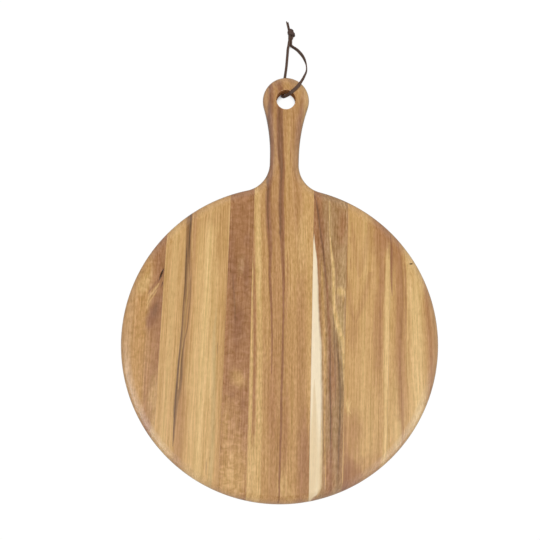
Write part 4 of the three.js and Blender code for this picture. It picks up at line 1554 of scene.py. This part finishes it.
class SERVINGBOARD_OT_ends(bpy.types.Operator):
    """Make the two cut ends of the lace that stand past the knot"""

    bl_idname = "serving_board.make_ends"
    bl_label = "Make Cut Ends"

    def execute(self, context):
        sizes = context.scene.lace_sizes
        leather = leather_material(sizes)
        ends = [
            ("lace_long_end", LONG_END, "lace_tail_long"),
            ("lace_short_end", SHORT_END, "lace_tail_short"),
        ]
        half_width = sizes.width / 2 / MM
        for name, route, node in ends:
            points = [knot_place(x, y, rise + half_width) for x, y, rise in route]
            cut_end = thong_object(name, leaning_thong(points, [0] * len(points), sizes))
            dress(cut_end, leather, "lace", "leather_lace", node)
        return {"FINISHED"}


class SERVINGBOARD_OT_lace(bpy.types.Operator):
    """Lay both runs of the leather lace from the hanging hole to the knot"""

    bl_idname = "serving_board.make_lace"
    bl_label = "Make Lace Runs"

    def execute(self, context):
        sizes = context.scene.lace_sizes
        leather = leather_material(sizes)
        runs = [
            ("lace_front_run", FRONT_ROUTE, "lace_front", "lace_long_end"),
            ("lace_back_run", BACK_ROUTE, "lace_back", "lace_short_end"),
        ]
        for name, route, node, end in runs:
            far_pieces = [bpy.data.objects.get(piece) for piece in ("lace_overhand_knot", end)]
            if None in far_pieces:
                raise RuntimeError("make the knot and the cut ends before the runs that end in them")
            run, middle = lace_run(name, route, sizes)
            dress(run, leather, "lace", "leather_lace", node)
        return {"FINISHED"}


# Stage: the camera looks straight down from arm's length, as the photograph does
CAMERA_PLACE = (-0.01267, 0.08327)
CAMERA_HEIGHT = 0.62
CAMERA_TURN = math.radians(1.5)
LENS_MM = 36.75
FLOOR_SIZE = 8.0
FLOOR_DROP = 0.4 * MM
FLOOR_SHADE = 0.05
FLOOR_GLOW = 0.975
# Contact shadow: how far it reaches from what stands close above, how deep it is, and how much of the
# sky has to be covered before it starts and where it is full
CONTACT_REACH = 9 * MM
CONTACT_DEPTH = 0.95
CONTACT_START = 0.42
CONTACT_FULL = 0.85
LIT_MIDDLE = (0.0, 0.06, 0.0)

# Soft boxes: setting that holds the power, size, bearing and height in degrees, and distance from the
# board. The one overhead lights the wood, and the others only show in its sheen.
SoftBox = namedtuple("SoftBox", "name setting size bearing height distance sheen_only")
SOFT_BOXES = [
    SoftBox("overhead_light", "overhead_watts", (4.6, 4.6), 97, 77, 6.0, False),
    SoftBox("left_light", "left_watts", (1.0, 1.2), -145, 45, 1.7, True),
    SoftBox("right_light", "right_watts", (0.9, 1.2), -43, 45, 1.7, True),
    SoftBox("back_light", "back_watts", (1.4, 0.8), 122, 45, 1.7, True),
    SoftBox("far_light", "far_watts", (1.8, 0.8), 62, 45, 1.7, True),
]


def seen_ray(bench):
    """One for rays that show the background: from the camera, a gloss or a glass."""
    path = bench.add("LightPath", {}).outputs
    glossy = bench.math("MAXIMUM", path["Is Camera Ray"], path["Is Glossy Ray"])
    return bench.math("MAXIMUM", glossy, path["Is Transmission Ray"])


def floor_material(looks):
    """Pale floor: white with the object's soft shadow where it is seen, and a plain colour for light."""
    material = bpy.data.materials.new("pale_floor")
    material.use_nodes = True
    tree = material.node_tree
    tree.nodes.remove(tree.nodes["Principled BSDF"])
    bench = Bench(tree)
    plain = bench.add("BsdfDiffuse", {"Color": opaque(looks.floor_colour)})
    shadow = bench.add("BsdfDiffuse", {"Color": (FLOOR_SHADE, FLOOR_SHADE, FLOOR_SHADE, 1.0)})
    open_sky = bench.add("AmbientOcclusion", {"Distance": CONTACT_REACH}).outputs["AO"]
    covered = bench.span(open_sky, 1 - CONTACT_FULL, 1 - CONTACT_START, 1.0, 0.0)
    strength = bench.math("MULTIPLY_ADD", covered, -CONTACT_DEPTH * FLOOR_GLOW, FLOOR_GLOW)
    glow = bench.add("Emission", {"Strength": strength})
    white = bench.add("AddShader", {0: shadow.outputs[0], 1: glow.outputs[0]})
    both = bench.add("MixShader", {0: seen_ray(bench), 1: plain.outputs[0], 2: white.outputs[0]})
    bench.join(tree.nodes["Material Output"].inputs["Surface"], both.outputs[0])
    return material


def light_soft_box(soft_box, looks):
    """A large soft lamp that faces the board from its bearing and height."""
    lamp = bpy.data.lights.new(soft_box.name, "AREA")
    lamp.shape = "RECTANGLE"
    lamp.size, lamp.size_y = soft_box.size
    lamp.energy = getattr(looks, soft_box.setting)
    if soft_box.sheen_only:
        lamp.color = looks.sheen_colour
    bearing, height = math.radians(soft_box.bearing), math.radians(soft_box.height)
    level = math.cos(height)
    away = Vector((level * math.cos(bearing), level * math.sin(bearing), math.sin(height)))
    box = bpy.data.objects.new(soft_box.name, lamp)
    box.location = Vector(LIT_MIDDLE) + away * soft_box.distance
    box.rotation_euler = away.to_track_quat("Z", "Y").to_euler()
    box.visible_camera = False
    box.visible_diffuse = not soft_box.sheen_only
    box.visible_glossy = soft_box.sheen_only
    bpy.context.scene.collection.objects.link(box)


def make_floor(looks):
    """The pale floor under the board."""
    bm = bmesh.new()
    bmesh.ops.create_grid(bm, x_segments=1, y_segments=1, size=FLOOR_SIZE / 2)
    floor = place_object("floor", finished_mesh(bm, "floor"))
    floor.location.z = -FLOOR_DROP
    floor.data.materials.append(floor_material(looks))


def make_world(scene, fill):
    """White where it is seen, and an even fill light for the rest."""
    world = bpy.data.worlds.new("studio")
    world.use_nodes = True
    scene.world = world
    bench = Bench(world.node_tree)
    background = world.node_tree.nodes["Background"]
    background.inputs["Color"].default_value = (1, 1, 1, 1)
    strength = bench.math("MULTIPLY_ADD", seen_ray(bench), 1.0 - fill, fill)
    bench.join(background.inputs["Strength"], strength)


class SERVINGBOARD_OT_stage(bpy.types.Operator):
    """Set up the camera, the floor and the soft light"""

    bl_idname = "serving_board.make_stage"
    bl_label = "Make Stage"

    def execute(self, context):
        scene = context.scene
        looks = scene.stage_looks
        lens = bpy.data.cameras.new("camera")
        lens.lens = LENS_MM
        camera = bpy.data.objects.new("camera", lens)
        camera.location = (*CAMERA_PLACE, CAMERA_HEIGHT)
        camera.rotation_euler = (0, 0, CAMERA_TURN)
        scene.collection.objects.link(camera)
        scene.camera = camera
        scene.view_settings.view_transform = "Standard"
        make_floor(looks)
        make_world(scene, looks.fill)
        for soft_box in SOFT_BOXES:
            light_soft_box(soft_box, looks)
        return {"FINISHED"}


class SERVINGBOARD_PT_panel(bpy.types.Panel):
    """Sizes, colours and steps of the serving board"""

    bl_label = "Serving Board"
    bl_idname = "SERVINGBOARD_PT_panel"
    bl_space_type = "VIEW_3D"
    bl_region_type = "UI"
    bl_category = "Serving Board"

    def draw(self, context):
        for name in GROUPS:
            settings = getattr(context.scene, name)
            column = self.layout.column(align=True)
            for key in settings.bl_rna.properties.keys():
                if key not in ("rna_type", "name"):
                    column.prop(settings, key)
        for operator in OPERATORS:
            self.layout.operator(operator.bl_idname)


OPERATORS = (
    SERVINGBOARD_OT_stage,
    SERVINGBOARD_OT_knot,
    SERVINGBOARD_OT_ends,
    SERVINGBOARD_OT_lace,
    SERVINGBOARD_OT_staves,
    SERVINGBOARD_OT_glue,
)
GROUPS = {
    "board_sizes": BoardSizes,
    "wood_tones": WoodTones,
    "lace_sizes": LaceSizes,
    "stage_looks": StageLooks,
}


def register():
    """Registers the classes and puts the settings on the scene."""
    for group in GROUPS.values():
        bpy.utils.register_class(group)
    for operator in (*OPERATORS, SERVINGBOARD_PT_panel):
        bpy.utils.register_class(operator)
    for name, group in GROUPS.items():
        setattr(bpy.types.Scene, name, PointerProperty(type=group))


def unregister():
    """Takes the settings off the scene and the classes out."""
    for name in GROUPS:
        delattr(bpy.types.Scene, name)
    for operator in (SERVINGBOARD_PT_panel, *reversed(OPERATORS)):
        bpy.utils.unregister_class(operator)
    for group in reversed(GROUPS.values()):
        bpy.utils.unregister_class(group)


def main():
    """Makes the stage, the lace and the board."""
    register()
    bpy.ops.serving_board.make_stage()
    bpy.ops.serving_board.make_knot()
    bpy.ops.serving_board.make_ends()
    bpy.ops.serving_board.make_lace()
    bpy.ops.serving_board.make_staves()
    bpy.ops.serving_board.make_glue()


if __name__ == "__main__":
    main()
